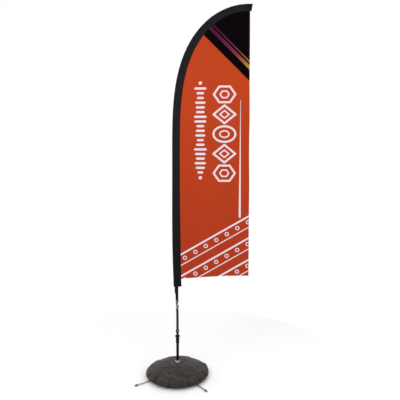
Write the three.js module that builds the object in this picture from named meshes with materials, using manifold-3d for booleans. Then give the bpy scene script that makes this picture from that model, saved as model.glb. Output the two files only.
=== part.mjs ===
// Feather flag: a bent pole and its sail, turning on a spindle that stands on a folding
// cross base, with a water bag lying over the base as ballast.
//
// Millimetres, +Z up. The origin is on the floor, on the spindle's axis, under the pivot bolt.
// The sail stands in the XZ plane and flies towards +X.

import * as THREE from 'three';
import { mergeVertices } from 'three/addons/utils/BufferGeometryUtils.js';
import Module from 'manifold-3d';

const wasm = await Module();
wasm.setup();

const degrees = Math.PI / 180;

// ---------------------------------------------------------------- driving dimensions

const gap = 0.3;                     // air between two solids that touch on the real object
const slideClearance = 0.5;          // radial clearance of a part that slides or turns on another

// Cross base
const legReach = 378;                // spindle axis to the end of a front leg
const rearLegReach = 240;            // and of a rear leg, which ends just past the bag's rim at the back
const legRadius = 5;                 // round steel bar
const legBearing = 216.5;            // degrees, where the lower bar's front leg points
const capWall = 1.5;
const capLength = 22;
const capDepth = 17;                 // how far a bar end sits in its cap
const bossRadius = 20;               // round boss in the middle of each bar
const jogStart = 40;                 // the upper bar starts to drop at this radius
const jogEnd = 78;                   // and reaches floor level at this one
const pivotWasherThickness = 1;
const boltRadius = 5;
const boltHeadRadius = 8.7;
const boltHeadHeight = 5.5;
const boltGrip = 20;                 // length of bolt in the spindle plug

// Spindle and rotator
const spindleTop = 250;              // height of the tube's upper end
const spindleRadius = 10.5;
const spindleWall = 2.5;
const footRadius = 23;
const footThickness = 4;
const housingWall = 2.7;
const housingOverlap = 11;           // of the housing over the tube
const bearingRadius = 11;
const bearingBore = 4.3;
const bearingHeight = 7;
const bearingSpacerHeight = 10;
const retainerHeight = 1.6;
const housingLip = 8.9;              // of the housing above the retainer
const seatRim = 7;                   // how far the pole seat stands out past the housing
const seatThickness = 4.5;
const seatRise = 12.9;               // from the bearing retainer to the underside of the seat
const journalRadius = 4;             // shaft in the bearings
const spigotRadius = 6.6;            // shaft in the pole
const spigotLength = 96;             // above the flange
const lockNutRoom = 0.78;            // between the nut's corners and the tube's bore
const lockNutHeight = 6.5;

// Pole, measured along its curve from the flange
const poleLength = 2792;
const poleLean = 2.1;                // degrees, play in the seat and the light bow of the lower pole
const poleBendLength = 1474;         // of the part that bends over, up to the tip
const poleTipAngle = 93;             // degrees from upright at the tip
const poleBendPower = 1.41;
const bottomLength = 640;
const middleLength = 640;
const upperLength = 640;
const bottomRadius = 9.5;
const middleRadius = 8.2;
const upperRadius = 6.8;
const tipRootRadius = 4.7;
const tipEndRadius = 2.6;
const poleWall = 2;
const spliceLength = 110;            // length of a joint spigot
const tipSocketDepth = 70;           // how far the tip section sits in the upper section
const tipCapRadius = 4.4;
const tipCapLength = 16;

// Flag
const sleeveStart = 392;             // along the pole
const sleeveEndMargin = 6;           // cloth beyond the pole's tip cap
const sleeveWidth = 58;
const sleeveWall = 1;
const sleeveTailThickness = 2.4;
const sleeveRoom = 1.5;              // between pole and cloth
const tipPocketLength = 46;
const sailStart = 452;               // along the pole, the sail's lower corner
const sailEdgeInset = 2;             // the free edge lies this far inside the pole's tip
const sailFoot = 776;                // height of the foot at the free edge
const sailThickness = 1.2;

// Tensioner, between the sleeve and the pole
const tensionerX = 4;
const tensionerY = -21.5;
const strapWidth = 9;                // round the swivel eye
const strapLeft = -19.5;             // where it has widened to the sleeve
const strapTaper = [606, 650];       // heights between which it widens
const strapThickness = 1.6;
const strapTabHeight = 28;           // length sewn on the sleeve
const eyeWireRadius = 1.7;
const eyeSideRoom = 1.8;             // between the strap's edges and the ring's sides
const eyeTop = 590;                  // middle of the wire in the strap
const eyeBottom = 566;
const stemRadius = 1.8;
const stemHeadRadius = 2.9;
const barrelRadius = 3.9;
const barrelHeight = 9;
const hookWireRadius = 2;
const hookHalfWidth = 7;
const hookBottom = 521;              // middle of the wire at the bottom of the bow
const hookTipHeight = 537;
const gateThickness = 2.4;
const gatePinRadius = 1;
const gatePinDrop = 4.5;             // below the barrel's middle
const cordRadius = 1.6;
const crimpRadius = 3;
const crimpBottom = 345;
const crimpTop = 355;
const anchorHeight = 336;            // of the peg that holds the cord
const anchorWall = 2.9;
const anchorBand = 18;
const pegRadius = 4;
const pegHeadRadius = 7;
const anchorScrewRadius = 2;

// The cord's route: from the crimp up over the hook, down behind and under the peg, back to the crimp.
const cordRoute = [
  [4, -27.9, 355.3], [4, -27.9, 400], [4, -27.9, 440], [4, -27.9, 480], [4, -27.9, 510], [4, -27.9, 519.4],
  [4, -27, 522.6], [4, -24.7, 524.9], [4, -21.5, 525.8], [4, -18.3, 524.9], [4, -16, 522.6],
  [4, -15.1, 519.4], [4, -15.1, 510], [4, -15.1, 480], [4, -15.1, 440], [4, -15.1, 400], [4, -15.1, 360],
  [4, -15.1, 345], [4, -15.1, 336], [4, -16, 332.8], [4, -18.3, 330.5], [4, -21.5, 329.6],
  [4, -24.7, 330.5], [4, -27, 332.8], [4, -27.9, 336], [4, -27.9, 344.7],
];

// Water bag
const bagRadius = 246;
const bagForward = 42;               // the rim lies this far in front of the spindle
const bagHeight = 83;                // from its underside to the crown
const bagHollowMargin = 8;           // underside hollow, past the foot of the upper bar's hump
const collarWall = 3.6;
const collarRoom = 0.9;              // between the housing and the collar that slides over it
const collarHeight = 36;
const collarStand = 2.8;             // above the bag's crown
const neckRadius = 7.5;
const neckBore = 5;
const neckLength = 24;
const neckSeat = 12;                 // how far the neck sits in the bag
const neckSkin = 1.3;                // cloth left under the neck
const fillerCapRadius = 11.5;
const fillerCapLength = 12;

// ---------------------------------------------------------------- sizes worked out from them

// Cross base, from the floor up
const capRadius = legRadius + capWall;
const legHeight = capRadius;                          // axis of the level part of a leg
const lowerBossTop = legHeight + legRadius;
const washerBottom = lowerBossTop + gap;
const upperBossBottom = washerBottom + pivotWasherThickness + gap;
const upperBossTop = upperBossBottom + legRadius * 2;
const footBottom = upperBossTop + gap;
const spindleBottom = footBottom + footThickness + gap;
const barEnd = legReach - capLength + capDepth;
const rearBarEnd = rearLegReach - capLength + capDepth;
const boltHole = boltRadius + gap;
const boltTop = spindleBottom + boltGrip;
const plugTop = boltTop + 6;

// Spindle and rotator, from the spindle's top up
const spindleBore = spindleRadius - spindleWall;
const housingRadius = Math.max(spindleRadius + gap, bearingRadius) + housingWall;
const housingBottom = spindleTop - housingOverlap;
const housingFloorBottom = spindleTop + gap;
const housingFloorTop = housingFloorBottom + 3;
const lockNutAcross = (spindleBore - lockNutRoom) * 2 * Math.cos(30 * degrees);
const floorHole = journalRadius + slideClearance;
const bearingPocket = bearingRadius + gap;
const lowerBearingBottom = housingFloorTop + gap;
const bearingSpacerBottom = lowerBearingBottom + bearingHeight + gap;
const upperBearingBottom = bearingSpacerBottom + bearingSpacerHeight + gap;
const retainerBottom = upperBearingBottom + bearingHeight + gap;
const retainerTop = retainerBottom + retainerHeight;
const housingTop = retainerTop + housingLip;
const seatHeight = retainerTop + seatRise;            // underside of the pole seat
const seatTop = seatHeight + seatThickness;
const seatRadius = housingRadius + seatRim;
const lockNutTop = housingFloorBottom - gap;
const lockNutBottom = lockNutTop - lockNutHeight;
const journalBottom = lockNutBottom - 3;
const shoulderTop = seatHeight - gap;
const spigotTop = seatTop + spigotLength;

// Pole, along it from the seat
const poleBendStart = poleLength - poleBendLength;
const middleStart = bottomLength + gap;
const upperStart = middleStart + middleLength + gap;
const upperEnd = upperStart + upperLength;
const tipStart = upperEnd - tipSocketDepth;
const tipSpan = poleLength - tipStart;
const capStart = poleLength - tipCapLength;
const capBoreEnd = poleLength + gap;
const tipCapEnd = poleLength + 4;

// Flag and tensioner
const sleeveEnd = tipCapEnd + sleeveEndMargin;
const sleeveBore = bottomRadius + sleeveRoom;
const anchorRadius = bottomRadius + gap * 2 + anchorWall;

// Water bag
const bagBottom = capRadius * 2 + gap;                // clear of the end caps when the legs fold
const bagHollowRadius = jogEnd + bagHollowMargin;
const hollowTop = footBottom + footThickness + gap * 2;
const bagBack = bagRadius - bagForward;
const collarBore = housingRadius + collarRoom;
const collarRadius = collarBore + collarWall;
const bagHoleRadius = collarRadius + gap * 2;
const collarTop = bagBottom + bagHeight + collarStand;
const collarBottom = collarTop - collarHeight;
const neckInner = bagBack - neckSeat;
const neckOuter = neckInner + neckLength;
const neckHeight = bagBottom + neckRadius + neckSkin;

// ---------------------------------------------------------------- helpers

/** A closed solid made ready for joining and cutting. */
function solid(geometry) {
  const clean = geometry.clone();
  for (const name of Object.keys(clean.attributes)) {
    if (name !== 'position') clean.deleteAttribute(name);
  }
  const merged = mergeVertices(clean, 1e-4);
  return new wasm.Manifold(new wasm.Mesh({
    numProp: 3,
    vertProperties: new Float32Array(merged.attributes.position.array),
    triVerts: new Uint32Array(merged.index.array),
  }));
}

/** A three.js geometry from a joined or cut solid. */
function geometryOf(body) {
  const mesh = body.getMesh();
  const geometry = new THREE.BufferGeometry();
  geometry.setAttribute('position', new THREE.BufferAttribute(mesh.vertProperties, 3));
  geometry.setIndex(new THREE.BufferAttribute(mesh.triVerts, 1));
  geometry.computeVertexNormals();
  return geometry;
}

/** Solid of revolution about Z from [radius, height] points that start and end on the axis. */
function turned(points, sides = 32) {
  const profile = points.map(([radius, height]) => new THREE.Vector2(radius, height));
  const geometry = new THREE.LatheGeometry(profile, sides);
  geometry.rotateX(Math.PI / 2);
  return geometry;
}

/** Solid cylinder from height low to height high. */
function rod(radius, low, high, sides = 32) {
  return turned([[0, low], [radius, low], [radius, high], [0, high]], sides);
}

/** Tube or ring from height low to height high. */
function ring(outer, inner, low, high, sides = 24) {
  return turned([[inner, low], [outer, low], [outer, high], [inner, high], [inner, low]], sides);
}

/** A round bar that follows a curve. */
function bar(curve, radius, sides, steps) {
  const corners = [];
  for (let i = 0; i < sides; i += 1) {
    const angle = (i / sides) * Math.PI * 2;
    corners.push(new THREE.Vector2(radius * Math.cos(angle), radius * Math.sin(angle)));
  }
  return new THREE.ExtrudeGeometry(new THREE.Shape(corners), { extrudePath: curve, steps });
}

function curveThrough(points) {
  return new THREE.CatmullRomCurve3(points.map((p) => new THREE.Vector3(...p)), false, 'centripetal');
}

/** A straight round bar between two points. */
function straightBar(from, to, radius, sides) {
  return bar(new THREE.LineCurve3(new THREE.Vector3(...from), new THREE.Vector3(...to)), radius, sides, 1);
}

/** An outline drawn in depth and height, given a width along X. */
function acrossX(outline, low, high, curveSegments = 8) {
  const geometry = new THREE.ExtrudeGeometry(outline, { depth: high - low, bevelEnabled: false, curveSegments });
  const turn = new THREE.Matrix4().makeBasis(
    new THREE.Vector3(0, 1, 0),
    new THREE.Vector3(0, 0, 1),
    new THREE.Vector3(1, 0, 0),
  );
  return geometry.applyMatrix4(turn).translate(low, 0, 0);
}

/** A rectangular block between two opposite corners. */
function block(low, high) {
  const size = high.map((value, i) => value - low[i]);
  const middle = high.map((value, i) => (value + low[i]) / 2);
  return new THREE.BoxGeometry(...size).translate(...middle);
}

const materials = {
  steel: [0x9a9a9c, 0.35, 0.9],
  blackSteel: [0x111112, 0.45, 0.4],
  blackPlastic: [0x161617, 0.55, 0.0],
  greyPlastic: [0xb9b9bb, 0.5, 0.0],
  rubber: [0x2a2a2a, 0.85, 0.0],
  carbon: [0x0e0e10, 0.35, 0.1],
  fibreglass: [0x17171a, 0.4, 0.0],
  brass: [0xb08a3e, 0.35, 0.9],
  nylon: [0xd8d6cf, 0.6, 0.0],
  sailCloth: [0xc54927, 0.75, 0.0],
  sleeveCloth: [0x211d22, 0.8, 0.0],
  webbing: [0x141414, 0.85, 0.0],
  elastic: [0x1a1a1b, 0.8, 0.0],
  bagCloth: [0x3f3a39, 0.6, 0.0],
};

const flag = new THREE.Group();

/** Adds one named piece to the object. */
function piece(name, geometry, finish) {
  const [color, roughness, metalness] = materials[finish];
  const mesh = new THREE.Mesh(geometry, new THREE.MeshStandardMaterial({ color, roughness, metalness }));
  mesh.name = name;
  flag.add(mesh);
  return mesh;
}

// ---------------------------------------------------------------- the pole's curve

function smoothstep(value, from, to) {
  const t = Math.min(Math.max((value - from) / (to - from), 0), 1);
  return t * t * (3 - 2 * t);
}

/** Angle of the pole from upright, in radians, at a distance along it. */
function poleAngle(along) {
  const lean = -poleLean * smoothstep(along, 110, 260) * (1 - smoothstep(along, 300, 1400));
  const share = Math.min(Math.max((along - poleBendStart) / (poleLength - poleBendStart), 0), 1);
  const bend = poleTipAngle * (1 - Math.cos((share * Math.PI) / 2)) ** poleBendPower;
  return (lean + bend) * degrees;
}

const poleStep = 4;
const straightEnd = poleBendStart + 180;
const straightStep = 90;
const bentStep = 46;
const poleTrack = [new THREE.Vector2(0, seatTop + gap)];
for (let along = 0; along < poleLength + 60; along += poleStep) {
  const angle = poleAngle(Math.min(along + poleStep / 2, poleLength));
  const last = poleTrack[poleTrack.length - 1];
  poleTrack.push(new THREE.Vector2(last.x + poleStep * Math.sin(angle), last.y + poleStep * Math.cos(angle)));
}

/** A point beside the pole: along it, across it towards the sail, and forward of it. */
function besidePole(along, across, depth) {
  const index = Math.min(Math.max(Math.floor(along / poleStep), 0), poleTrack.length - 2);
  const point = poleTrack[index].clone().lerp(poleTrack[index + 1], along / poleStep - index);
  const angle = poleAngle(Math.min(Math.max(along, 0), poleLength));
  return new THREE.Vector3(point.x + across * Math.cos(angle), depth, point.y - across * Math.sin(angle));
}

/** Evenly spaced values from low to high. */
function evenly(low, high, stepLength) {
  const steps = Math.max(1, Math.round((high - low) / stepLength));
  return Array.from({ length: steps + 1 }, (_, i) => low + ((high - low) * i) / steps);
}

/** Bends a solid that was made straight up Z, with Z the distance along the pole. */
function bentAlongPole(geometry) {
  const position = geometry.attributes.position;
  for (let i = 0; i < position.count; i += 1) {
    const bent = besidePole(position.getZ(i), position.getX(i), position.getY(i));
    position.setXYZ(i, bent.x, bent.y, bent.z);
  }
  geometry.computeVertexNormals();
  return geometry;
}

/** Distances along the pole where a bent piece has a cross-section: closer together in the bend. */
function stations(low, high) {
  const split = Math.min(Math.max(straightEnd, low), high);
  const lower = split > low ? evenly(low, split, straightStep) : [low];
  const upper = high > split ? evenly(split, high, bentStep).slice(1) : [];
  return [...lower, ...upper];
}

/** A tube along the pole, cut into short lengths so that it can bend. */
function poleTube(radius, low, high, sides) {
  const heights = stations(low, high);
  const outside = heights.map((h) => [radius, h]);
  const inside = heights.map((h) => [radius - poleWall, h]).reverse();
  return bentAlongPole(turned([...outside, ...inside, outside[0]], sides));
}

// ---------------------------------------------------------------- cross base

function makeLowerBar() {
  return solid(straightBar([-rearBarEnd, 0, legHeight], [barEnd, 0, legHeight], legRadius, 12))
    .add(solid(rod(bossRadius, 0, lowerBossTop, 32)))
    .subtract(solid(rod(boltHeadRadius + gap, -1, boltHeadHeight + gap, 24)))
    .subtract(solid(rod(boltHole, -1, lowerBossTop + 1, 24)));
}

function makeUpperBar() {
  const humpHeight = upperBossBottom + legRadius;
  const side = [[jogEnd, legHeight], [jogEnd - 8, legHeight + 0.8], [jogStart + 8, humpHeight - 1],
    [jogStart, humpHeight - 0.3], [bossRadius, humpHeight]];
  const left = side.map(([x, z]) => [-x, 0, z]);
  const right = side.map(([x, z]) => [x, 0, z]).reverse();
  return solid(bar(curveThrough([...left, ...right]), legRadius, 12, 20))
    .add(solid(straightBar([-rearBarEnd, 0, legHeight], [1 - jogEnd, 0, legHeight], legRadius, 12)))
    .add(solid(straightBar([jogEnd - 1, 0, legHeight], [barEnd, 0, legHeight], legRadius, 12)))
    .add(solid(rod(bossRadius, upperBossBottom, upperBossTop, 32)))
    .subtract(solid(rod(boltHole, upperBossBottom - 1, upperBossTop + 1, 24)));
}

function makeCap(reach) {
  const start = reach - capLength;
  const floor = start + capDepth + gap;
  return turned([
    [0, floor], [legRadius + gap, floor], [legRadius + gap, start],
    [capRadius - 0.6, start], [capRadius, start + 1],
    [capRadius, reach - 2], [capRadius - 1.6, reach], [0, reach],
  ], 16).rotateY(Math.PI / 2).translate(0, 0, legHeight);
}

const bars = [['lower_leg_bar', makeLowerBar(), legBearing], ['upper_leg_bar', makeUpperBar(), legBearing + 90]];
for (const [name, body, bearing] of bars) {
  const mesh = piece(name, geometryOf(body), 'steel');
  mesh.rotation.z = bearing * degrees;
  for (const [end, turn, reach] of [['front', 0, legReach], ['rear', 180, rearLegReach]]) {
    const cap = piece(`${name.replace('_leg_bar', '')}_${end}_end_cap`, makeCap(reach), 'rubber');
    cap.rotation.z = (bearing + turn) * degrees;
  }
}

piece('pivot_washer', ring(bossRadius - 2, boltHole, washerBottom, washerBottom + pivotWasherThickness), 'nylon');

piece('pivot_bolt', turned([
  [0, 0], [boltHeadRadius - 0.8, 0], [boltHeadRadius, 0.8], [boltHeadRadius, boltHeadHeight],
  [boltRadius, boltHeadHeight], [boltRadius, boltTop - 1], [boltRadius - 1, boltTop], [0, boltTop],
], 24), 'steel');

// ---------------------------------------------------------------- spindle and rotator

piece('spindle_foot', turned([
  [boltHole, footBottom], [footRadius, footBottom], [footRadius, footBottom + footThickness - 1],
  [footRadius - 1, footBottom + footThickness], [boltHole, footBottom + footThickness],
  [boltHole, footBottom],
], 32), 'blackSteel');

piece('spindle_plug', turned([
  [boltHole, spindleBottom], [spindleBore - gap, spindleBottom], [spindleBore - gap, plugTop],
  [0, plugTop], [0, boltTop + gap], [boltHole, boltTop + gap], [boltHole, spindleBottom],
], 24), 'steel');

piece('spindle_tube', ring(spindleRadius, spindleBore, spindleBottom, spindleTop, 28), 'blackSteel');

piece('bearing_housing', turned([
  [spindleRadius + gap, housingBottom], [housingRadius - 1, housingBottom], [housingRadius, housingBottom + 1],
  [housingRadius, housingTop - 1], [housingRadius - 1, housingTop], [bearingPocket, housingTop],
  [bearingPocket, housingFloorTop], [floorHole, housingFloorTop], [floorHole, housingFloorBottom],
  [spindleRadius + gap, housingFloorBottom], [spindleRadius + gap, housingBottom],
], 28), 'blackPlastic');

/** Ball bearing as one closed ring, its two faces sunk between the races. */
function makeBearing(low) {
  const high = low + bearingHeight;
  const inside = bearingBore + 1.9;
  const outside = bearingRadius - 1.9;
  const sink = 0.7;
  return turned([
    [bearingBore, low], [inside, low], [inside, low + sink], [outside, low + sink], [outside, low],
    [bearingRadius, low], [bearingRadius, high], [outside, high], [outside, high - sink],
    [inside, high - sink], [inside, high], [bearingBore, high], [bearingBore, low],
  ], 20);
}

piece('lower_bearing', makeBearing(lowerBearingBottom), 'steel');
piece('bearing_spacer', ring(bearingRadius - 1, bearingRadius - 3, bearingSpacerBottom,
  bearingSpacerBottom + bearingSpacerHeight), 'blackSteel');
piece('upper_bearing', makeBearing(upperBearingBottom), 'steel');
piece('bearing_retainer', ring(bearingRadius, bearingRadius - 3, retainerBottom,
  retainerBottom + retainerHeight), 'steel');

piece('spigot', turned([
  [0, journalBottom], [journalRadius - 0.6, journalBottom], [journalRadius, journalBottom + 0.8],
  [journalRadius, upperBearingBottom + bearingHeight + gap],
  [spigotRadius - 0.4, upperBearingBottom + bearingHeight + gap], [spigotRadius - 0.4, shoulderTop],
  [spigotRadius, shoulderTop], [spigotRadius, spigotTop - 4], [spigotRadius - 2.4, spigotTop], [0, spigotTop],
], 20), 'steel');

piece('pole_seat', turned([
  [spigotRadius + gap, seatHeight], [housingRadius - 1, seatHeight - 2.4], [seatRadius - 1.4, seatHeight],
  [seatRadius, seatHeight + 1.4], [seatRadius, seatTop - 1],
  [seatRadius - 1, seatTop], [spigotRadius + gap, seatTop],
  [spigotRadius + gap, seatHeight],
], 32), 'blackPlastic');

function makeLockNut() {
  const corners = [];
  for (let i = 0; i < 6; i += 1) {
    const angle = (i * 60 + 30) * degrees;
    const reach = lockNutAcross / 2 / Math.cos(30 * degrees);
    corners.push(new THREE.Vector2(reach * Math.cos(angle), reach * Math.sin(angle)));
  }
  const hexagon = new THREE.ExtrudeGeometry(new THREE.Shape(corners), { depth: lockNutHeight, bevelEnabled: false });
  return solid(hexagon.translate(0, 0, lockNutBottom))
    .subtract(solid(rod(journalRadius + gap, lockNutBottom - 1, lockNutTop + 1, 24)));
}
piece('lock_nut', geometryOf(makeLockNut()), 'steel');

// ---------------------------------------------------------------- pole


piece('pole_bottom_section', poleTube(bottomRadius, 0, bottomLength, 16), 'carbon');
piece('pole_middle_section', poleTube(middleRadius, middleStart, middleStart + middleLength, 12), 'carbon');
piece('pole_upper_section', poleTube(upperRadius, upperStart, upperEnd, 12), 'carbon');

/** Stepped plug that joins two pole sections from the inside. */
function makeSplice(joint, lowerRadius, higherRadius) {
  const lowerFit = lowerRadius - poleWall - gap;
  const upperFit = higherRadius - poleWall - gap;
  const half = spliceLength / 2;
  const shoulder = joint - 1;
  const lowerPart = evenly(joint - half, shoulder, 27).map((h) => [lowerFit, h]);
  const upperPart = evenly(shoulder, joint + half, 27).map((h) => [upperFit, h]);
  const profile = [[0, joint - half], ...lowerPart, ...upperPart, [0, joint + half]];
  return bentAlongPole(turned(profile, 12));
}
piece('lower_joint_spigot', makeSplice(bottomLength, bottomRadius, middleRadius), 'fibreglass');
piece('upper_joint_spigot', makeSplice(middleStart + middleLength, middleRadius, upperRadius), 'fibreglass');

function tipRadiusAt(along) {
  const share = (along - tipStart) / tipSpan;
  return Math.min(upperRadius - poleWall - gap, tipRootRadius) * (1 - share) + tipEndRadius * share;
}
const tipStations = [...stations(tipStart, capStart - 2), poleLength];
const tipProfile = tipStations.map((h) => [tipRadiusAt(h), h]);
piece('pole_tip_section', bentAlongPole(turned([[0, tipStart], ...tipProfile, [0, poleLength]], 10)), 'fibreglass');

/** Little end cap that keeps the tip from wearing through the cloth. */
function makeTipCap() {
  const bore = tipRadiusAt(capStart) + slideClearance;
  return bentAlongPole(turned([
    [0, capBoreEnd], [bore, capBoreEnd], [bore, capStart], [tipCapRadius, capStart],
    [tipCapRadius, tipCapEnd - 2], [tipCapRadius - 1.6, tipCapEnd], [0, tipCapEnd],
  ], 16));
}
piece('pole_tip_cap', makeTipCap(), 'blackPlastic');

// ---------------------------------------------------------------- flag

/** Radius of the sleeve's pocket, which narrows with the pole. */
function pocketRadius(along) {
  const share = smoothstep(along, sleeveStart, poleLength);
  return sleeveBore * (1 - share) + (tipCapRadius + sleeveRoom) * share;
}

/** Width of the sleeve from its outer edge to the seam. */
function sleeveWidthAt(along) {
  const foot = smoothstep(along, sleeveStart, sleeveStart + 500);
  const end = smoothstep(along, poleLength - 700, poleLength);
  return sleeveWidth * (0.9 + 0.1 * foot) * (1 - 0.14 * end);
}

/** Cross-section of the sleeve as [across, depth] points: a pocket round the pole and a flat tail. */
function sleeveSection(along) {
  const radius = pocketRadius(along) + sleeveWall;
  const seam = sleeveWidthAt(along) - radius;
  const tail = sleeveTailThickness / 2;
  const points = [];
  const arcSteps = 8;
  const openAngle = 52 * degrees;
  for (let i = 0; i <= arcSteps; i += 1) {
    const angle = openAngle + ((Math.PI * 2 - openAngle * 2) * i) / arcSteps;
    points.push([radius * Math.cos(angle), radius * Math.sin(angle)]);
  }
  points.push([radius + (seam - radius) * 0.45, -tail * 2]);
  points.push([seam, -tail], [seam, tail]);
  points.push([radius + (seam - radius) * 0.45, tail * 2]);
  return points;
}

/** A closed solid through matching cross-sections, each a ring of [across, depth] points. */
function loft(sections, heights) {
  const sides = sections[0].length;
  const positions = [];
  sections.forEach((section, row) => {
    section.forEach(([x, y]) => positions.push(x, y, heights[row]));
  });
  const index = [];
  for (let row = 0; row + 1 < sections.length; row += 1) {
    for (let i = 0; i < sides; i += 1) {
      const a = row * sides + i;
      const b = row * sides + ((i + 1) % sides);
      index.push(a, b, b + sides, a, b + sides, a + sides);
    }
  }
  const flat = THREE.ShapeUtils.triangulateShape(sections[0].map(([x, y]) => new THREE.Vector2(x, y)), []);
  const top = (sections.length - 1) * sides;
  for (const [a, b, c] of flat) index.push(c, b, a, top + a, top + b, top + c);
  const geometry = new THREE.BufferGeometry();
  geometry.setAttribute('position', new THREE.Float32BufferAttribute(positions, 3));
  geometry.setIndex(index);
  return geometry;
}

/** The sleeve at the given distances along the pole, made straight. */
function straightSleeve(heights, grow = 0) {
  const grown = ([x, y]) => [x + Math.sign(x) * grow, y + Math.sign(y) * grow];
  return loft(heights.map((h) => sleeveSection(h).map(grown)), heights);
}

function makeSleeve() {
  const heights = stations(sleeveStart, sleeveEnd - 2);
  const pocketHeights = [sleeveStart - 1, ...heights.slice(1, -1), sleeveEnd - 4];
  const pocketProfile = pocketHeights.map((h) => [pocketRadius(h), h]);
  const pocket = turned([[0, sleeveStart - 1], ...pocketProfile, [0, sleeveEnd - 4]], 12);
  return bentAlongPole(geometryOf(solid(straightSleeve(heights)).subtract(solid(pocket))));
}
piece('pole_sleeve', makeSleeve(), 'sleeveCloth');

function makeTipPocket() {
  const low = sleeveEnd - tipPocketLength;
  const high = sleeveEnd + 3;
  const cover = solid(straightSleeve(evenly(low, high, 16), 1.6));
  const inside = solid(straightSleeve(evenly(low - 5, sleeveEnd - 2 + gap, 16), gap));
  const seamSide = sleeveWidthAt(low) - pocketRadius(low) - sleeveWall - 3;
  const openSide = new THREE.BoxGeometry(40, 40, 200).translate(seamSide + 20, 0, (low + high) / 2);
  return bentAlongPole(geometryOf(cover.subtract(inside).subtract(solid(openSide))));
}
piece('tip_pocket', makeTipPocket(), 'webbing');

/** Outline of the sail: up the sleeve's seam, down the free edge and back along the foot. */
function makeSail() {
  const sailFreeEdge = besidePole(poleLength, 0, 0).x - sailEdgeInset;
  const outline = new THREE.Shape();
  const seamAt = (along) => {
    const across = sleeveWidthAt(along) - pocketRadius(along) - sleeveWall + gap + 0.2;
    return besidePole(along, across, 0);
  };
  const above = stations(sleeveStart, sleeveEnd - 2).filter((along) => along > sailStart);
  const seam = [sailStart, ...above].map(seamAt).filter((p) => p.x < sailFreeEdge - 12);
  outline.moveTo(seam[0].x, seam[0].z);
  seam.slice(1).forEach((p) => outline.lineTo(p.x, p.z));
  outline.lineTo(sailFreeEdge - 8, seam[seam.length - 1].z);
  outline.lineTo(sailFreeEdge, sailFoot);
  outline.quadraticCurveTo((seam[0].x + sailFreeEdge) / 2, sailFoot + 3, seam[0].x, seam[0].z);
  const cloth = new THREE.ExtrudeGeometry(outline, { depth: sailThickness, bevelEnabled: false, curveSegments: 8 });
  return cloth.rotateX(Math.PI / 2).translate(0, sailThickness / 2, 0);
}
piece('sail', makeSail(), 'sailCloth');

// ---------------------------------------------------------------- tensioner

const strapHalf = eyeWireRadius + gap + strapThickness;
const eyeHalfWidth = strapWidth / 2 + eyeSideRoom + eyeWireRadius;
const wireDrop = eyeHalfWidth - Math.sqrt(eyeHalfWidth ** 2 - (strapWidth / 2) ** 2) + gap * 2;
const sleeveFoot = besidePole(sleeveStart, 0, 0).z;
const sleeveFront = -(sleeveBore + sleeveWall);

/** Webbing doubled into a loop that holds the swivel eye, its upper end sewn on the sleeve. */
function makeStrap() {
  const inner = strapHalf - strapThickness;
  const loopBottom = eyeTop - wireDrop;
  const loopTop = eyeTop + inner + 10;
  const tabBack = sleeveFront - gap - 0.5;
  const tabFront = tabBack - strapThickness * 2;
  const outline = new THREE.Shape();
  outline.moveTo(tensionerY + strapHalf, loopBottom);
  outline.lineTo(tensionerY + strapHalf, loopTop);
  outline.lineTo(tabBack, sleeveFoot - 8);
  outline.lineTo(tabBack, sleeveFoot + strapTabHeight);
  outline.lineTo(tabFront, sleeveFoot + strapTabHeight);
  outline.lineTo(tabFront, sleeveFoot - 8);
  outline.lineTo(tensionerY - strapHalf, loopTop);
  outline.lineTo(tensionerY - strapHalf, loopBottom);
  outline.absarc(tensionerY, loopBottom, strapHalf, Math.PI, Math.PI * 2, false);
  const eye = new THREE.Path();
  eye.absarc(tensionerY, loopBottom, inner, Math.PI, Math.PI * 2, false);
  eye.lineTo(tensionerY + inner, eyeTop + 2);
  eye.lineTo(tensionerY, loopTop + 4);
  eye.lineTo(tensionerY - inner, eyeTop + 2);
  outline.holes.push(eye);
  const left = tensionerX - strapWidth / 2;
  const waste = new THREE.Shape([
    [strapLeft - 20, loopBottom - 20], [left, loopBottom - 20], [left, strapTaper[0]],
    [strapLeft, strapTaper[1]], [strapLeft - 20, strapTaper[1]],
  ].map(([x, z]) => new THREE.Vector2(x, z)));
  const wasteBlock = new THREE.ExtrudeGeometry(waste, { depth: 60, bevelEnabled: false }).rotateX(Math.PI / 2);
  const wide = acrossX(outline, strapLeft, tensionerX + strapWidth / 2);
  return geometryOf(solid(wide).subtract(solid(wasteBlock)));
}
piece('tension_strap', makeStrap(), 'webbing');

const barrelTop = eyeBottom - eyeWireRadius - gap * 2;
const barrelBottom = barrelTop - barrelHeight;

/** Ring stretched upright, with a headed stem below it that the hook's barrel turns on. */
function makeEye() {
  const wire = new THREE.TorusGeometry(eyeHalfWidth, eyeWireRadius, 8, 24);
  const stretch = (eyeTop - eyeBottom) / 2 - eyeHalfWidth;
  const position = wire.attributes.position;
  for (let i = 0; i < position.count; i += 1) {
    const side = Math.abs(position.getY(i)) < 0.01 ? 0 : Math.sign(position.getY(i));
    position.setY(i, position.getY(i) + side * stretch);
  }
  wire.rotateX(Math.PI / 2).translate(0, 0, (eyeTop + eyeBottom) / 2);
  const stem = turned([
    [0, barrelBottom - gap - 2.4], [stemHeadRadius - 0.8, barrelBottom - gap - 2.4],
    [stemHeadRadius, barrelBottom - gap - 1.6], [stemHeadRadius, barrelBottom - gap],
    [stemRadius, barrelBottom - gap], [stemRadius, eyeBottom], [0, eyeBottom],
  ], 20);
  return geometryOf(solid(wire).add(solid(stem))).translate(tensionerX, tensionerY, 0);
}
piece('swivel_eye', makeEye(), 'steel');

const gatePinX = hookHalfWidth - 1.2;
const gatePinZ = (barrelTop + barrelBottom) / 2 - gatePinDrop;
const earHalf = gateThickness / 2 + gap + 1.2;

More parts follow.
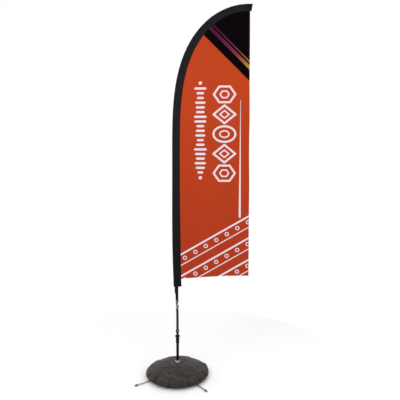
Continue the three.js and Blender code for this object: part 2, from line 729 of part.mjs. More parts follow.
/** Barrel, open bow and the two ears that hold the gate. */
function makeHook() {
  const bow = curveThrough([
    [-barrelRadius + 1.4, 0, (barrelTop + barrelBottom) / 2 - 1], [-hookHalfWidth + 0.8, 0, barrelBottom - 2],
    [-hookHalfWidth, 0, barrelBottom - 8], [-hookHalfWidth, 0, hookBottom + hookHalfWidth],
    [-hookHalfWidth * 0.72, 0, hookBottom + hookHalfWidth * 0.28], [0, 0, hookBottom],
    [hookHalfWidth * 0.72, 0, hookBottom + hookHalfWidth * 0.28], [hookHalfWidth, 0, hookBottom + hookHalfWidth],
    [hookHalfWidth, 0, hookTipHeight],
  ]);
  const ears = solid(block(
    [2.6, -earHalf, gatePinZ - 2.6],
    [gatePinX + 2.6, earHalf, (barrelTop + barrelBottom) / 2 + 2],
  ));
  const slot = solid(block(
    [barrelRadius - 0.4, -gateThickness / 2 - gap, gatePinZ - 4],
    [gatePinX + 4, gateThickness / 2 + gap, gatePinZ + 2.9],
  ));
  const pinHole = solid(straightBar([gatePinX, -9, gatePinZ], [gatePinX, 9, gatePinZ], gatePinRadius + gap, 16));
  const stemHole = solid(rod(stemRadius + gap, barrelBottom - 9, barrelTop + 1, 20));
  const headRoom = solid(rod(stemHeadRadius + gap * 2, barrelBottom - 9, barrelBottom, 20));
  const body = solid(bar(bow, hookWireRadius, 8, 26))
    .add(solid(rod(barrelRadius, barrelBottom, barrelTop, 24)))
    .add(ears)
    .subtract(slot)
    .subtract(pinHole)
    .subtract(stemHole)
    .subtract(headRoom);
  return geometryOf(body).translate(tensionerX, tensionerY, 0);
}
piece('hook_body', makeHook(), 'steel');

/** Sprung lever that closes the bow, hung on its pin. */
function makeGate() {
  const half = gateThickness / 2;
  const head = solid(straightBar([gatePinX, -half, gatePinZ], [gatePinX, half, gatePinZ], 2.2, 20));
  const lever = solid(block(
    [gatePinX - 0.9, -half, hookTipHeight + gap * 2],
    [gatePinX + 1.5, half, gatePinZ],
  ));
  const hole = solid(straightBar([gatePinX, -9, gatePinZ], [gatePinX, 9, gatePinZ], gatePinRadius + gap, 16));
  return geometryOf(head.add(lever).subtract(hole)).translate(tensionerX, tensionerY, 0);
}
piece('hook_gate', makeGate(), 'steel');
piece('gate_pin', straightBar([gatePinX, -earHalf, gatePinZ], [gatePinX, earHalf, gatePinZ], gatePinRadius, 12)
  .translate(tensionerX, tensionerY, 0), 'brass');

piece('tension_cord', bar(curveThrough(cordRoute), cordRadius, 8, 64), 'elastic');
piece('cord_crimp', turned([
  [0, crimpBottom], [crimpRadius - 0.6, crimpBottom], [crimpRadius, crimpBottom + 0.8],
  [crimpRadius, crimpTop - 0.8], [crimpRadius - 0.6, crimpTop], [0, crimpTop],
], 16).translate(cordRoute[0][0], cordRoute[0][1], 0), 'steel');

/** Collar clamped on the pole, with a headed peg that points sideways. */
function makeAnchor() {
  const low = anchorHeight - anchorBand / 2;
  const high = anchorHeight + anchorBand / 2;
  const armLow = [-anchorRadius + 2, tensionerY - pegRadius, anchorHeight - pegRadius];
  const armHigh = [tensionerX - cordRadius - gap * 2, 0, anchorHeight + pegRadius];
  const pegEnd = tensionerX + cordRadius + gap * 2;
  const screwHole = anchorScrewRadius + gap;
  return solid(ring(anchorRadius, 2, low, high, 28))
    .add(solid(block(armLow, armHigh)))
    .add(solid(straightBar([armHigh[0] - 2, tensionerY, anchorHeight], [pegEnd + 1, tensionerY, anchorHeight],
      pegRadius, 20)))
    .add(solid(straightBar([pegEnd, tensionerY, anchorHeight], [pegEnd + 3, tensionerY, anchorHeight],
      pegHeadRadius, 24)))
    .subtract(solid(rod(bottomRadius + gap * 2, low - 9, high + 9, 28)))
    .subtract(solid(straightBar([0, 0, anchorHeight], [0, anchorRadius + 9, anchorHeight], screwHole, 16)));
}
piece('cord_anchor', geometryOf(makeAnchor()), 'blackPlastic');
piece('anchor_screw', straightBar([0, bottomRadius + gap * 2, anchorHeight],
  [0, anchorRadius + 1, anchorHeight], anchorScrewRadius, 16), 'steel');

// ---------------------------------------------------------------- water bag

/** Moves the bag's rim forward of the spindle and leaves its hole where it is. */
function lainForward(geometry) {
  const position = geometry.attributes.position;
  for (let i = 0; i < position.count; i += 1) {
    const radius = Math.hypot(position.getX(i), position.getY(i));
    const share = smoothstep(radius, bagHollowRadius, bagRadius);
    position.setY(i, position.getY(i) - bagForward * share);
  }
  geometry.computeVertexNormals();
  return geometry;
}

function makeBag() {
  const rim = bagRadius - bagHollowRadius;
  // Distance in from the rim and height, as shares of the bag's own width and height.
  const section = [[0.1, 0], [0.03, 0.05], [0, 0.13], [0.03, 0.25], [0.17, 0.41], [0.47, 0.59],
    [0.79, 0.78], [1.1, 0.94], [1.28, 1]];
  const skin = section.map(([inward, up]) => [bagRadius - rim * inward, bagBottom + bagHeight * up]);
  const profile = [
    [bagHoleRadius, hollowTop], [bagHollowRadius, hollowTop], [bagHollowRadius, bagBottom],
    ...skin, [bagHoleRadius, collarTop - 8], [bagHoleRadius, hollowTop],
  ];
  const neckHole = straightBar([0, bagBack - neckSeat - gap, neckHeight], [0, bagBack + 40, neckHeight],
    neckRadius + gap, 20);
  return geometryOf(solid(lainForward(turned(profile, 40))).subtract(solid(neckHole)));
}
piece('water_bag', makeBag(), 'bagCloth');

piece('bag_collar', turned([
  [collarBore, collarBottom], [collarRadius - 0.8, collarBottom], [collarRadius, collarBottom + 1],
  [collarRadius, collarTop - 1.5], [collarRadius - 1.5, collarTop], [collarBore + 0.6, collarTop],
  [collarBore, collarTop - 1], [collarBore, collarBottom],
], 28), 'greyPlastic');

/** A turned piece whose height runs backwards along the filler's axis. */
function onFiller(points, sides) {
  return turned(points, sides).rotateX(-Math.PI / 2).translate(0, 0, neckHeight);
}

piece('filler_neck', onFiller([
  [0, neckInner], [neckRadius, neckInner], [neckRadius, neckOuter], [neckBore, neckOuter],
  [neckBore, neckInner + 3], [0, neckInner + 3],
], 24), 'blackPlastic');

const fillerCapBottom = neckOuter + gap + 2.5 - fillerCapLength;
piece('filler_cap', onFiller([
  [0, neckOuter + gap], [neckRadius + slideClearance, neckOuter + gap],
  [neckRadius + slideClearance, fillerCapBottom], [fillerCapRadius, fillerCapBottom],
  [fillerCapRadius, neckOuter + gap + 1.5], [fillerCapRadius - 1, neckOuter + gap + 2.5],
  [0, neckOuter + gap + 2.5],
], 24), 'blackPlastic');

export default flag;
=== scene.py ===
"""Finished look of a feather flag: printed sail and sleeve on a bent pole, a cord tensioner,
a turning spindle, a folding cross base and the water bag that weighs it down.

Shapes are worked out in millimetres in the flag's own frame, +Z up, with the origin on the
floor on the spindle's axis, and stored in metres.
"""

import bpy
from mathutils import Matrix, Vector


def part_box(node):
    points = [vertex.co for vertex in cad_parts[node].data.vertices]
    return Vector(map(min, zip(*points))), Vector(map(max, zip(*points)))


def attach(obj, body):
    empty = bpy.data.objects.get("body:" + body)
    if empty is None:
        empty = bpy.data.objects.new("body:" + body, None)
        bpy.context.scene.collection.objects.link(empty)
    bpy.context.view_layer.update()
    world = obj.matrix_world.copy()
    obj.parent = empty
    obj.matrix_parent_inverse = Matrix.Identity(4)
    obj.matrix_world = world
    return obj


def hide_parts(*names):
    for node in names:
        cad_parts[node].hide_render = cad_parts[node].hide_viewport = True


bl_info = {
    "name": "Feather Flag",
    "version": (1, 0, 0),
    "blender": (4, 5, 0),
    "location": "3D View > Sidebar > Feather Flag",
    "description": "Builds the cloth, hardware and water bag of a feather flag",
    "category": "Add Mesh",
}

import math

import bpy
import numpy as np
from bpy.props import FloatProperty, FloatVectorProperty, IntProperty, PointerProperty
from mathutils import Euler, Matrix, Vector, noise

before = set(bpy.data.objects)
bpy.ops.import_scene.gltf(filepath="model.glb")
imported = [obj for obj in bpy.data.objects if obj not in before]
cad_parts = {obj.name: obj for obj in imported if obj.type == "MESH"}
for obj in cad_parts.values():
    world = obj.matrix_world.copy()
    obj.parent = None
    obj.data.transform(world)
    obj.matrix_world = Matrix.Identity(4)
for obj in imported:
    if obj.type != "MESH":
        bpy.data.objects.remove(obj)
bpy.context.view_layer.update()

MM = 0.001
SMOOTH_ANGLE = math.radians(38)


# ---------------------------------------------------------------- settings


def length(name, description, default):
    return FloatProperty(
        name=name, description=description, default=default, min=0.0, precision=4,
        subtype="DISTANCE", unit="LENGTH")


def tint(name, description, red, green, blue):
    """A colour setting, its default given as display values from 0 to 255."""
    return FloatVectorProperty(
        name=name, description=description, subtype="COLOR", size=3, min=0.0, max=1.0,
        default=[display_to_linear(v / 255) for v in (red, green, blue)])


def display_to_linear(value):
    return value / 12.92 if value <= 0.04045 else ((value + 0.055) / 1.055) ** 2.4


class FlagStageSettings(bpy.types.PropertyGroup):
    camera_side: length("Camera Side", "Camera's distance to the right of the spindle", 0.1755)
    camera_back: length("Camera Distance", "Camera's distance in front of the spindle", 3.4)
    camera_height: length("Camera Height", "Camera's height above the floor", 1.69)
    camera_tilt: FloatProperty(
        name="Camera Tilt", description="How far the camera looks down", subtype="ANGLE",
        default=math.radians(5.5))
    lens: FloatProperty(
        name="Lens", description="Focal length on a 36 mm sensor, in mm", default=40.5, min=10.0)
    floor_colour: tint("Floor", "Colour of the floor", 254, 254, 254)
    sky_strength: FloatProperty(
        name="Sky Strength", description="Brightness of the soft light all round", default=0.86)
    key_power: FloatProperty(
        name="Key Light", description="Power of the large light, in watts", subtype="POWER",
        default=75.0)


class FlagPoleSettings(bpy.types.PropertyGroup):
    bottom_radius: length("Bottom Radius", "Outer radius of the bottom section", 0.0095)
    wall: length("Wall", "Wall of the tube", 0.002)
    carbon_colour: tint("Carbon", "Colour of the tube", 6, 6, 7)


class FlagSleeveSettings(bpy.types.PropertyGroup):
    width: length("Width", "From the sleeve's outer edge to the seam", 0.058)
    tail: length("Tail", "Thickness of the flat part", 0.0024)
    gather: length("Gather", "Depth of the gathers round the bend", 0.0011)
    slack: length("Slack", "How far the pocket hangs off the pole at its foot", 0.0085)
    cloth_colour: tint("Cloth", "Colour of the sleeve", 28, 26, 29)
    thread_colour: tint("Thread", "Colour of the sewing thread on the sleeve", 26, 25, 27)


class FlagSailSettings(bpy.types.PropertyGroup):
    thickness: length("Thickness", "Thickness of the cloth", 0.0012)
    cell: length("Cell", "Size of one cell of the sail's mesh", 0.005)
    hem: length("Hem", "Width of the hem", 0.015)
    billow: length("Billow", "How far the cloth bellies out of its plane", 0.009)
    stitch: length("Stitch", "Length of one stitch", 0.0032)
    upper_colour: tint("Upper Print", "Ground colour at the top", 190, 67, 30)
    lower_colour: tint("Lower Print", "Ground colour at the foot", 174, 58, 29)
    corner_colour: tint("Corner", "Colour of the dark corner", 5, 3, 5)
    line_colour: tint("Lines", "Colour of the printed lines", 232, 221, 230)
    thread_colour: tint("Thread", "Colour of the hem's thread", 122, 46, 30)


class FlagBagSettings(bpy.types.PropertyGroup):
    radius: length("Radius", "Radius of the bag's rim", 0.249)
    forward: length("Forward", "How far the rim lies in front of the spindle", 0.042)
    height: length("Height", "From the underside to the crown", 0.083)
    skin_colour: tint("Skin", "Colour of the coated cloth", 46, 38, 37)
    pucker: length("Pucker", "Depth of the puckers at the rim", 0.0055)
    seed: IntProperty(name="Seed", description="Choice of creases", default=5, min=0)


class FlagHardwareSettings(bpy.types.PropertyGroup):
    steel_colour: tint("Steel", "Plated steel", 176, 176, 178)
    black_colour: tint("Black Steel", "Powder coated steel", 6, 6, 7)
    plastic_colour: tint("Black Plastic", "Moulded parts", 9, 9, 10)
    collar_colour: tint("Collar", "Bag's collar", 196, 196, 196)


SETTINGS = {
    "flag_stage": FlagStageSettings,
    "flag_pole": FlagPoleSettings,
    "flag_sleeve": FlagSleeveSettings,
    "flag_sail": FlagSailSettings,
    "flag_bag": FlagBagSettings,
    "flag_hardware": FlagHardwareSettings,
}


# ---------------------------------------------------------------- shapes


def smoothstep(value, low, high):
    """0 below low, 1 above high, smooth between."""
    share = np.clip((np.asarray(value, float) - low) / (high - low), 0, 1)
    return share * share * (3 - 2 * share)


def add_piece(name, mesh, material=None):
    """Puts a mesh in the scene as an unmoved object."""
    mesh.name = name
    if material is not None:
        mesh.materials.clear()
        mesh.materials.append(material)
    piece = bpy.data.objects.new(name, mesh)
    bpy.context.scene.collection.objects.link(piece)
    return piece


def make_mesh(name, points, faces, smooth=SMOOTH_ANGLE):
    """A mesh from points in millimetres."""
    mesh = bpy.data.meshes.new(name)
    mesh.from_pydata((np.asarray(points, float) * MM).tolist(), [], faces)
    mesh.shade_smooth()
    if smooth is not None:
        mesh.set_sharp_from_angle(angle=smooth)
    return mesh


def loft(rings, closed_path=False, cap_start=True, cap_end=True):
    """Points and faces through rings of the same number of points. Rings run anticlockwise
    when seen from the end of the path."""
    rings = np.asarray(rings, float)
    rows, sides = rings.shape[:2]
    index = np.arange(rows * sides).reshape(rows, sides)
    upper = np.roll(index, -1, axis=0) if closed_path else index[1:]
    lower = index if closed_path else index[:-1]
    a, b = lower, np.roll(lower, -1, axis=1)
    c, d = np.roll(upper, -1, axis=1), upper
    faces = np.stack([a, b, c, d], axis=-1).reshape(-1, 4).tolist()
    if not closed_path:
        if cap_start:
            faces.append(index[0][::-1].tolist())
        if cap_end:
            faces.append(index[-1].tolist())
    return rings.reshape(-1, 3), faces


def turned(profile, sides=48):
    """Points and faces of a turned solid from [radius, height] points. A profile runs from
    axis to axis upwards, or round a closed loop anticlockwise."""
    closed = profile[0] == profile[-1] and profile[0][0] > 0
    if closed:
        profile = profile[:-1]
    angles = np.linspace(0, 2 * math.pi, sides, endpoint=False)
    points, rows = [], []
    for radius, height in profile:
        start = len(points)
        if radius < 1e-6:
            points.append((0, 0, height))
            rows.append([start] * sides)
        else:
            points.extend((radius * math.cos(t), radius * math.sin(t), height) for t in angles)
            rows.append(list(range(start, start + sides)))
    faces = []
    for lower, upper in zip(rows, rows[1:] + ([rows[0]] if closed else [])):
        for i in range(sides):
            j = (i + 1) % sides
            face = [lower[i], lower[j], upper[j], upper[i]]
            face = [v for k, v in enumerate(face) if v not in face[:k]]
            if len(face) > 2:
                faces.append(face)
    return np.array(points), faces


def rounded(profile, radius=0.8, steps=3):
    """A profile with its corners rounded."""
    closed = profile[0] == profile[-1]
    corners = [np.array(p, float) for p in (profile[:-1] if closed else profile)]
    count = len(corners)
    made = []
    for i, corner in enumerate(corners):
        if not closed and i in (0, count - 1):
            made.append(tuple(corner))
            continue
        before, after = corners[i - 1] - corner, corners[(i + 1) % count] - corner
        reach = min(radius, np.linalg.norm(before) * 0.45, np.linalg.norm(after) * 0.45)
        start = corner + before / np.linalg.norm(before) * reach
        end = corner + after / np.linalg.norm(after) * reach
        for k in range(steps + 1):
            t = k / steps
            made.append(tuple((1 - t) ** 2 * start + 2 * t * (1 - t) * corner + t * t * end))
    if closed:
        made.append(made[0])
    return made


def smooth_path(points, steps=8):
    """Points of a smooth curve through the given ones."""
    points = np.asarray(points, float)
    padded = np.vstack([2 * points[0] - points[1], points, 2 * points[-1] - points[-2]])
    made = []
    for i in range(1, len(padded) - 2):
        p0, p1, p2, p3 = padded[i - 1:i + 3]
        for t in np.linspace(0, 1, steps, endpoint=False):
            made.append(0.5 * (2 * p1 + (p2 - p0) * t + (2 * p0 - 5 * p1 + 4 * p2 - p3) * t * t
                               + (3 * p1 - p0 - 3 * p2 + p3) * t ** 3))
    made.append(points[-1])
    return np.array(made)


def resampled(points, spacing):
    """Points of a path at even distances."""
    points = np.asarray(points, float)
    along = np.concatenate([[0], np.cumsum(np.linalg.norm(np.diff(points, axis=0), axis=1))])
    wanted = np.linspace(0, along[-1], max(2, int(round(along[-1] / spacing)) + 1))
    return np.stack([np.interp(wanted, along, points[:, k]) for k in range(points.shape[1])], 1)


def path_length(points):
    return float(np.linalg.norm(np.diff(np.asarray(points, float), axis=0), axis=1).sum())


def swept(path, radius, sides=16, closed_path=False):
    """Rings of a round bar along a path, without twist."""
    path = np.asarray(path, float)
    ahead = np.roll(path, -1, axis=0) - path
    behind = path - np.roll(path, 1, axis=0)
    tangents = ahead + behind
    if not closed_path:
        tangents[0], tangents[-1] = ahead[0], behind[-1]
    tangents /= np.linalg.norm(tangents, axis=1)[:, None]
    start = np.array([0.0, 0.0, 1.0]) if abs(tangents[0][2]) < 0.9 else np.array([0.0, 1.0, 0.0])
    side = np.cross(tangents[0], start)
    radii = np.broadcast_to(radius, (len(path),))
    angles = np.linspace(0, 2 * math.pi, sides, endpoint=False)
    rings = []
    for point, tangent, size in zip(path, tangents, radii):
        side = side - tangent * side.dot(tangent)
        side /= np.linalg.norm(side)
        up = np.cross(tangent, side)
        rings.append(point + size * (np.cos(angles)[:, None] * side + np.sin(angles)[:, None] * up))
    return np.array(rings)


def bar_mesh(name, path, radius, sides=16, closed_path=False):
    return make_mesh(name, *loft(swept(path, radius, sides, closed_path), closed_path))


def turned_mesh(name, profile, sides=48):
    return make_mesh(name, *turned(profile, sides))


def placed(mesh, turn=(0, 0, 0), move=(0, 0, 0)):
    """Turns a mesh by degrees about X, Y and Z and moves it by millimetres."""
    turn = Euler([math.radians(v) for v in turn]).to_matrix().to_4x4()
    mesh.transform(Matrix.Translation(Vector(move) * MM) @ turn)
    return mesh


def combined(name, mesh, others, operation="UNION", bevel=0.0):
    """One closed mesh from a first one and the others, joined to it or cut from it."""
    target = add_piece(name + "_work", mesh)
    workers = [target]
    for other in others:
        tool = add_piece(name + "_tool", other)
        workers.append(tool)
        change = target.modifiers.new("Join", "BOOLEAN")
        change.operation = operation
        change.object = tool
        change.solver = "EXACT"
    if bevel:
        edge = target.modifiers.new("Edge", "BEVEL")
        edge.width = bevel * MM
        edge.segments = 2
        edge.limit_method = "ANGLE"
        edge.angle_limit = math.radians(40)
    result = applied(target)
    for worker in workers:
        bpy.data.objects.remove(worker)
    result.shade_smooth()
    result.set_sharp_from_angle(angle=SMOOTH_ANGLE)
    return result


def applied(piece):
    """The piece's mesh with its modifiers applied."""
    bpy.context.view_layer.update()
    graph = bpy.context.evaluated_depsgraph_get()
    return bpy.data.meshes.new_from_object(
        piece.evaluated_get(graph), preserve_all_data_layers=True, depsgraph=graph)


def softened_copy(node, name, material, bevel=0.25, segments=2):
    """A copy of a frame node with merged points and rounded edges."""
    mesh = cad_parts[node].data.copy()
    mesh.materials.clear()
    source = add_piece(name + "_work", mesh)
    weld = source.modifiers.new("Weld", "WELD")
    weld.merge_threshold = 0.02 * MM
    flat = source.modifiers.new("Flat", "DECIMATE")
    flat.decimate_type = "DISSOLVE"
    flat.angle_limit = math.radians(1.0)
    edge = source.modifiers.new("Edge", "BEVEL")
    edge.width = bevel * MM
    edge.segments = segments
    edge.limit_method = "ANGLE"
    edge.angle_limit = math.radians(40)
    result = applied(source)
    bpy.data.objects.remove(source)
    result.shade_smooth()
    result.set_sharp_from_angle(angle=SMOOTH_ANGLE)
    return add_piece(name, result, material)


def settle(piece, body, slot, *nodes):
    """Hangs a finished piece on its body, in place of the frame's nodes."""
    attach(piece, body)
    if nodes:
        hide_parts(*nodes)
    return piece


def measured(node):
    """A frame node's lowest and highest corners in millimetres."""
    low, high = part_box(node)
    return np.array(low) / MM, np.array(high) / MM


# ---------------------------------------------------------------- the pole's curve

POLE_LENGTH = 2792.0
POLE_STEP = 4.0
POLE_BASE_HEIGHT = 297.8
BEND_START = 1318.0
TIP_ANGLE = 93.0
BEND_POWER = 1.41
LEAN = 2.1
SLEEVE_START = 392.0
SLEEVE_END = 2796.0
SLEEVE_POCKET = 11.0
SLEEVE_POCKET_TIP = 5.9
SLEEVE_WALL = 1.0
SAIL_START = 452.0
SAIL_FOOT = 776.0
SAIL_EDGE_INSET = 2.0


def pole_angle(along):
    """Angle of the pole from upright, in radians, at distances along it."""
    along = np.asarray(along, float)
    lean = -LEAN * smoothstep(along, 110, 260) * (1 - smoothstep(along, 300, 1400))
    share = np.clip((along - BEND_START) / (POLE_LENGTH - BEND_START), 0, 1)
    bend = TIP_ANGLE * (1 - np.cos(share * math.pi / 2)) ** BEND_POWER
    return np.radians(lean + bend)


def make_pole_track():
    starts = np.arange(0, POLE_LENGTH + 60, POLE_STEP)
    angles = pole_angle(np.minimum(starts + POLE_STEP / 2, POLE_LENGTH))
    across = np.concatenate([[0], np.cumsum(POLE_STEP * np.sin(angles))])
    up = POLE_BASE_HEIGHT + np.concatenate([[0], np.cumsum(POLE_STEP * np.cos(angles))])
    return np.arange(len(across)) * POLE_STEP, across, up


POLE_TRACK = make_pole_track()


def beside_pole(along, across=0.0, depth=0.0):
    """Points beside the pole: along it, across it towards the sail, and forward of it."""
    along, across, depth = np.broadcast_arrays(*map(np.asarray, (along, across, depth)))
    distance, x, z = POLE_TRACK
    angle = pole_angle(np.clip(along, 0, POLE_LENGTH))
    return np.stack([
        np.interp(along, distance, x) + across * np.cos(angle),
        depth.astype(float),
        np.interp(along, distance, z) - across * np.sin(angle)], axis=-1)


def pocket_radius(along):
    share = smoothstep(along, SLEEVE_START, POLE_LENGTH)
    return SLEEVE_POCKET * (1 - share) + SLEEVE_POCKET_TIP * share


def sleeve_width(along):
    width = bpy.context.scene.flag_sleeve.width / MM
    foot = smoothstep(along, SLEEVE_START, SLEEVE_START + 500)
    end = smoothstep(along, POLE_LENGTH - 700, POLE_LENGTH)
    return width * (0.9 + 0.1 * foot) * (1 - 0.14 * end)


def seam_across(along):
    """Distance across the pole of the seam between sleeve and sail."""
    return sleeve_width(along) - pocket_radius(along) - SLEEVE_WALL


# ---------------------------------------------------------------- nodes


def add_node(tree, kind, inputs=None, **settings):
    """A node with its settings, and its inputs given as values or linked from sockets."""
    node = tree.nodes.new(kind)
    for key, value in settings.items():
        setattr(node, key, value)
    for key, value in (inputs or {}).items():
        if isinstance(value, bpy.types.NodeSocket):
            tree.links.new(value, node.inputs[key])
        else:
            node.inputs[key].default_value = value
    return node


def calc(tree, operation, *values, clamp=False):
    node = add_node(tree, "ShaderNodeMath", dict(enumerate(values)), operation=operation)
    node.use_clamp = clamp
    return node.outputs[0]


def step_up(tree, value, low, high):
    """0 below low, 1 above high, smooth between."""
    node = add_node(tree, "ShaderNodeMapRange", {
        "Value": value, "From Min": low, "From Max": high}, interpolation_type="SMOOTHSTEP")
    return node.outputs["Result"]


def blend_colours(tree, share, first, second, mode="MIX"):
    node = add_node(tree, "ShaderNodeMix", data_type="RGBA", blend_type=mode)
    for index, value in ((0, share), (6, first), (7, second)):
        if isinstance(value, bpy.types.NodeSocket):
            tree.links.new(value, node.inputs[index])
        elif index == 0:
            node.inputs[0].default_value = value
        else:
            node.inputs[index].default_value = (*tuple(value)[:3], 1.0)
    return node.outputs[2]


def new_group(name, kind, inputs, outputs):
    """An empty node group with named sockets. Each is given as (name, socket type, default)."""
    tree = bpy.data.node_groups.new(name, kind)
    for direction, sockets in (("INPUT", inputs), ("OUTPUT", outputs)):
        for socket_name, socket_kind, *default in sockets:
            socket = tree.interface.new_socket(
                name=socket_name, in_out=direction, socket_type=socket_kind)
            if default:
                socket.default_value = default[0]
    return tree, tree.nodes.new("NodeGroupInput"), tree.nodes.new("NodeGroupOutput")


def weave_group():
    """Plain weave: threads along the first two coordinates pass over and under each other."""
    name = "Plain Weave"
    if name in bpy.data.node_groups:
        return bpy.data.node_groups[name]
    tree, given, made = new_group(
        name, "ShaderNodeTree",
        [("Vector", "NodeSocketVector"), ("Pitch", "NodeSocketFloat", 0.0008)],
        [("Height", "NodeSocketFloat"), ("Gap", "NodeSocketFloat")])
    parts = add_node(tree, "ShaderNodeSeparateXYZ", {0: given.outputs["Vector"]})
    turn = calc(tree, "DIVIDE", math.pi, given.outputs["Pitch"])
    waves = [calc(tree, "SINE", calc(tree, "MULTIPLY", parts.outputs[k], turn)) for k in (0, 1)]
    warp, weft = (calc(tree, "ABSOLUTE", wave) for wave in waves)
    over = calc(tree, "GREATER_THAN", calc(tree, "MULTIPLY", *waves), 0.0)
    height = add_node(tree, "ShaderNodeMix", {0: over, 2: warp, 3: weft}).outputs[0]
    tree.links.new(height, made.inputs["Height"])
    gap = calc(tree, "SUBTRACT", 1.0, calc(tree, "MAXIMUM", warp, weft))
    tree.links.new(gap, made.inputs["Gap"])
    return tree


def grain_group():
    """Fine moulded or painted grain with broad, soft mottling under it."""
    name = "Surface Grain"
    if name in bpy.data.node_groups:
        return bpy.data.node_groups[name]
    tree, given, made = new_group(
        name, "ShaderNodeTree",
        [("Vector", "NodeSocketVector"), ("Fine Scale", "NodeSocketFloat", 900.0),
         ("Broad Scale", "NodeSocketFloat", 12.0)],
        [("Height", "NodeSocketFloat"), ("Mottle", "NodeSocketFloat")])
    fine = add_node(tree, "ShaderNodeTexNoise", {
        "Vector": given.outputs["Vector"], "Scale": given.outputs["Fine Scale"],
        "Detail": 3.0, "Roughness": 0.55})
    broad = add_node(tree, "ShaderNodeTexNoise", {
        "Vector": given.outputs["Vector"], "Scale": given.outputs["Broad Scale"],
        "Detail": 4.0, "Roughness": 0.6})
    tree.links.new(fine.outputs[0], made.inputs["Height"])
    tree.links.new(step_up(tree, broad.outputs[0], 0.3, 0.7), made.inputs["Mottle"])
    return tree


def wear_group():
    """Scuffs: short scratches and rubbed spots that gather in patches."""
    name = "Rubbed Wear"
    if name in bpy.data.node_groups:
        return bpy.data.node_groups[name]
    tree, given, made = new_group(
        name, "ShaderNodeTree",
        [("Vector", "NodeSocketVector"), ("Scale", "NodeSocketFloat", 60.0),
         ("Amount", "NodeSocketFloat", 0.3)],
        [("Mask", "NodeSocketFloat")])
    patches = add_node(tree, "ShaderNodeTexNoise", {
        "Vector": given.outputs["Vector"], "Scale": given.outputs["Scale"], "Detail": 2.0})
    stretched = add_node(tree, "ShaderNodeMapping", {
        "Vector": given.outputs["Vector"], "Scale": (1.0, 1.0, 0.12)})
    lines = add_node(tree, "ShaderNodeTexNoise", {
        "Vector": stretched.outputs[0],
        "Scale": calc(tree, "MULTIPLY", given.outputs["Scale"], 9.0),
        "Detail": 5.0, "Roughness": 0.7})
    mask = calc(tree, "MULTIPLY", step_up(tree, patches.outputs[0], 0.5, 0.72),
                step_up(tree, lines.outputs[0], 0.52, 0.66))
    tree.links.new(calc(tree, "MULTIPLY", mask, given.outputs["Amount"], clamp=True),
                   made.inputs["Mask"])
    return tree


def dust_group():
    """Pale dust that settles on faces that look up."""
    name = "Settled Dust"
    if name in bpy.data.node_groups:
        return bpy.data.node_groups[name]
    tree, given, made = new_group(
        name, "ShaderNodeTree",
        [("Vector", "NodeSocketVector"), ("Amount", "NodeSocketFloat", 0.2)],
        [("Mask", "NodeSocketFloat")])
    facing = add_node(tree, "ShaderNodeSeparateXYZ", {
        0: tree.nodes.new("ShaderNodeNewGeometry").outputs["Normal"]})
    specks = add_node(tree, "ShaderNodeTexNoise", {
        "Vector": given.outputs["Vector"], "Scale": 55.0, "Detail": 6.0, "Roughness": 0.7})
    upward = step_up(tree, facing.outputs[2], 0.2, 0.95)
    mask = calc(tree, "MULTIPLY", upward, step_up(tree, specks.outputs[0], 0.35, 0.75))
    tree.links.new(calc(tree, "MULTIPLY", mask, given.outputs["Amount"], clamp=True),
                   made.inputs["Mask"])
    return tree


def new_material(name):
    """A material with an empty tree: returns it, its tree and its Principled node."""
    material = bpy.data.materials.new(name)
    material.use_nodes = True
    tree = material.node_tree
    tree.nodes.clear()
    shader = tree.nodes.new("ShaderNodeBsdfPrincipled")
    add_node(tree, "ShaderNodeOutputMaterial", {"Surface": shader.outputs[0]})
    return material, tree, shader


def use_group(tree, group, **inputs):
    node = tree.nodes.new("ShaderNodeGroup")
    node.node_tree = group
    for key, value in inputs.items():
        key = key.replace("_", " ").title()
        if isinstance(value, bpy.types.NodeSocket):
            tree.links.new(value, node.inputs[key])
        else:
            node.inputs[key].default_value = value
    return node


def bumped(tree, height, depth):
    """Normal from a height between 0 and 1 and a depth in millimetres."""
    return add_node(tree, "ShaderNodeBump", {
        "Height": height, "Strength": 1.0, "Distance": depth * MM}).outputs[0]


def hard_finish(name, colour, roughness, metallic=0.0, worn=(0.5, 0.5, 0.5), wear=0.15,
                grain=0.02, fine=900.0, dust=0.04, coat=0.0, specular=0.5):
    """Metal, plastic or painted finish with grain, scuffs and a little dust."""
    if name in bpy.data.materials:
        return bpy.data.materials[name]
    material, tree, shader = new_material(name)
    place = tree.nodes.new("ShaderNodeTexCoord").outputs["Object"]
    surface = use_group(tree, grain_group(), vector=place, fine_scale=fine)
    scuffs = use_group(tree, wear_group(), vector=place, amount=wear).outputs[0]
    settled = use_group(tree, dust_group(), vector=place, amount=dust).outputs[0]
    colour = np.array(tuple(colour)[:3])
    ground = blend_colours(tree, surface.outputs["Mottle"], colour * 0.86,
                           np.minimum(colour * 1.12, 1))
    ground = blend_colours(tree, scuffs, ground, worn)
    ground = blend_colours(tree, settled, ground, (0.42, 0.4, 0.37))
    tree.links.new(ground, shader.inputs["Base Color"])
    rough = calc(tree, "MULTIPLY_ADD", surface.outputs["Mottle"], 0.12, roughness - 0.06)
    rough = calc(tree, "MULTIPLY_ADD", scuffs, 0.25, rough)
    rough = calc(tree, "MULTIPLY_ADD", settled, 0.4, rough, clamp=True)
    tree.links.new(rough, shader.inputs["Roughness"])
    shader.inputs["Metallic"].default_value = metallic
    shader.inputs["Coat Weight"].default_value = coat
    shader.inputs["Specular IOR Level"].default_value = specular
    tree.links.new(bumped(tree, surface.outputs["Height"], grain), shader.inputs["Normal"])
    return material


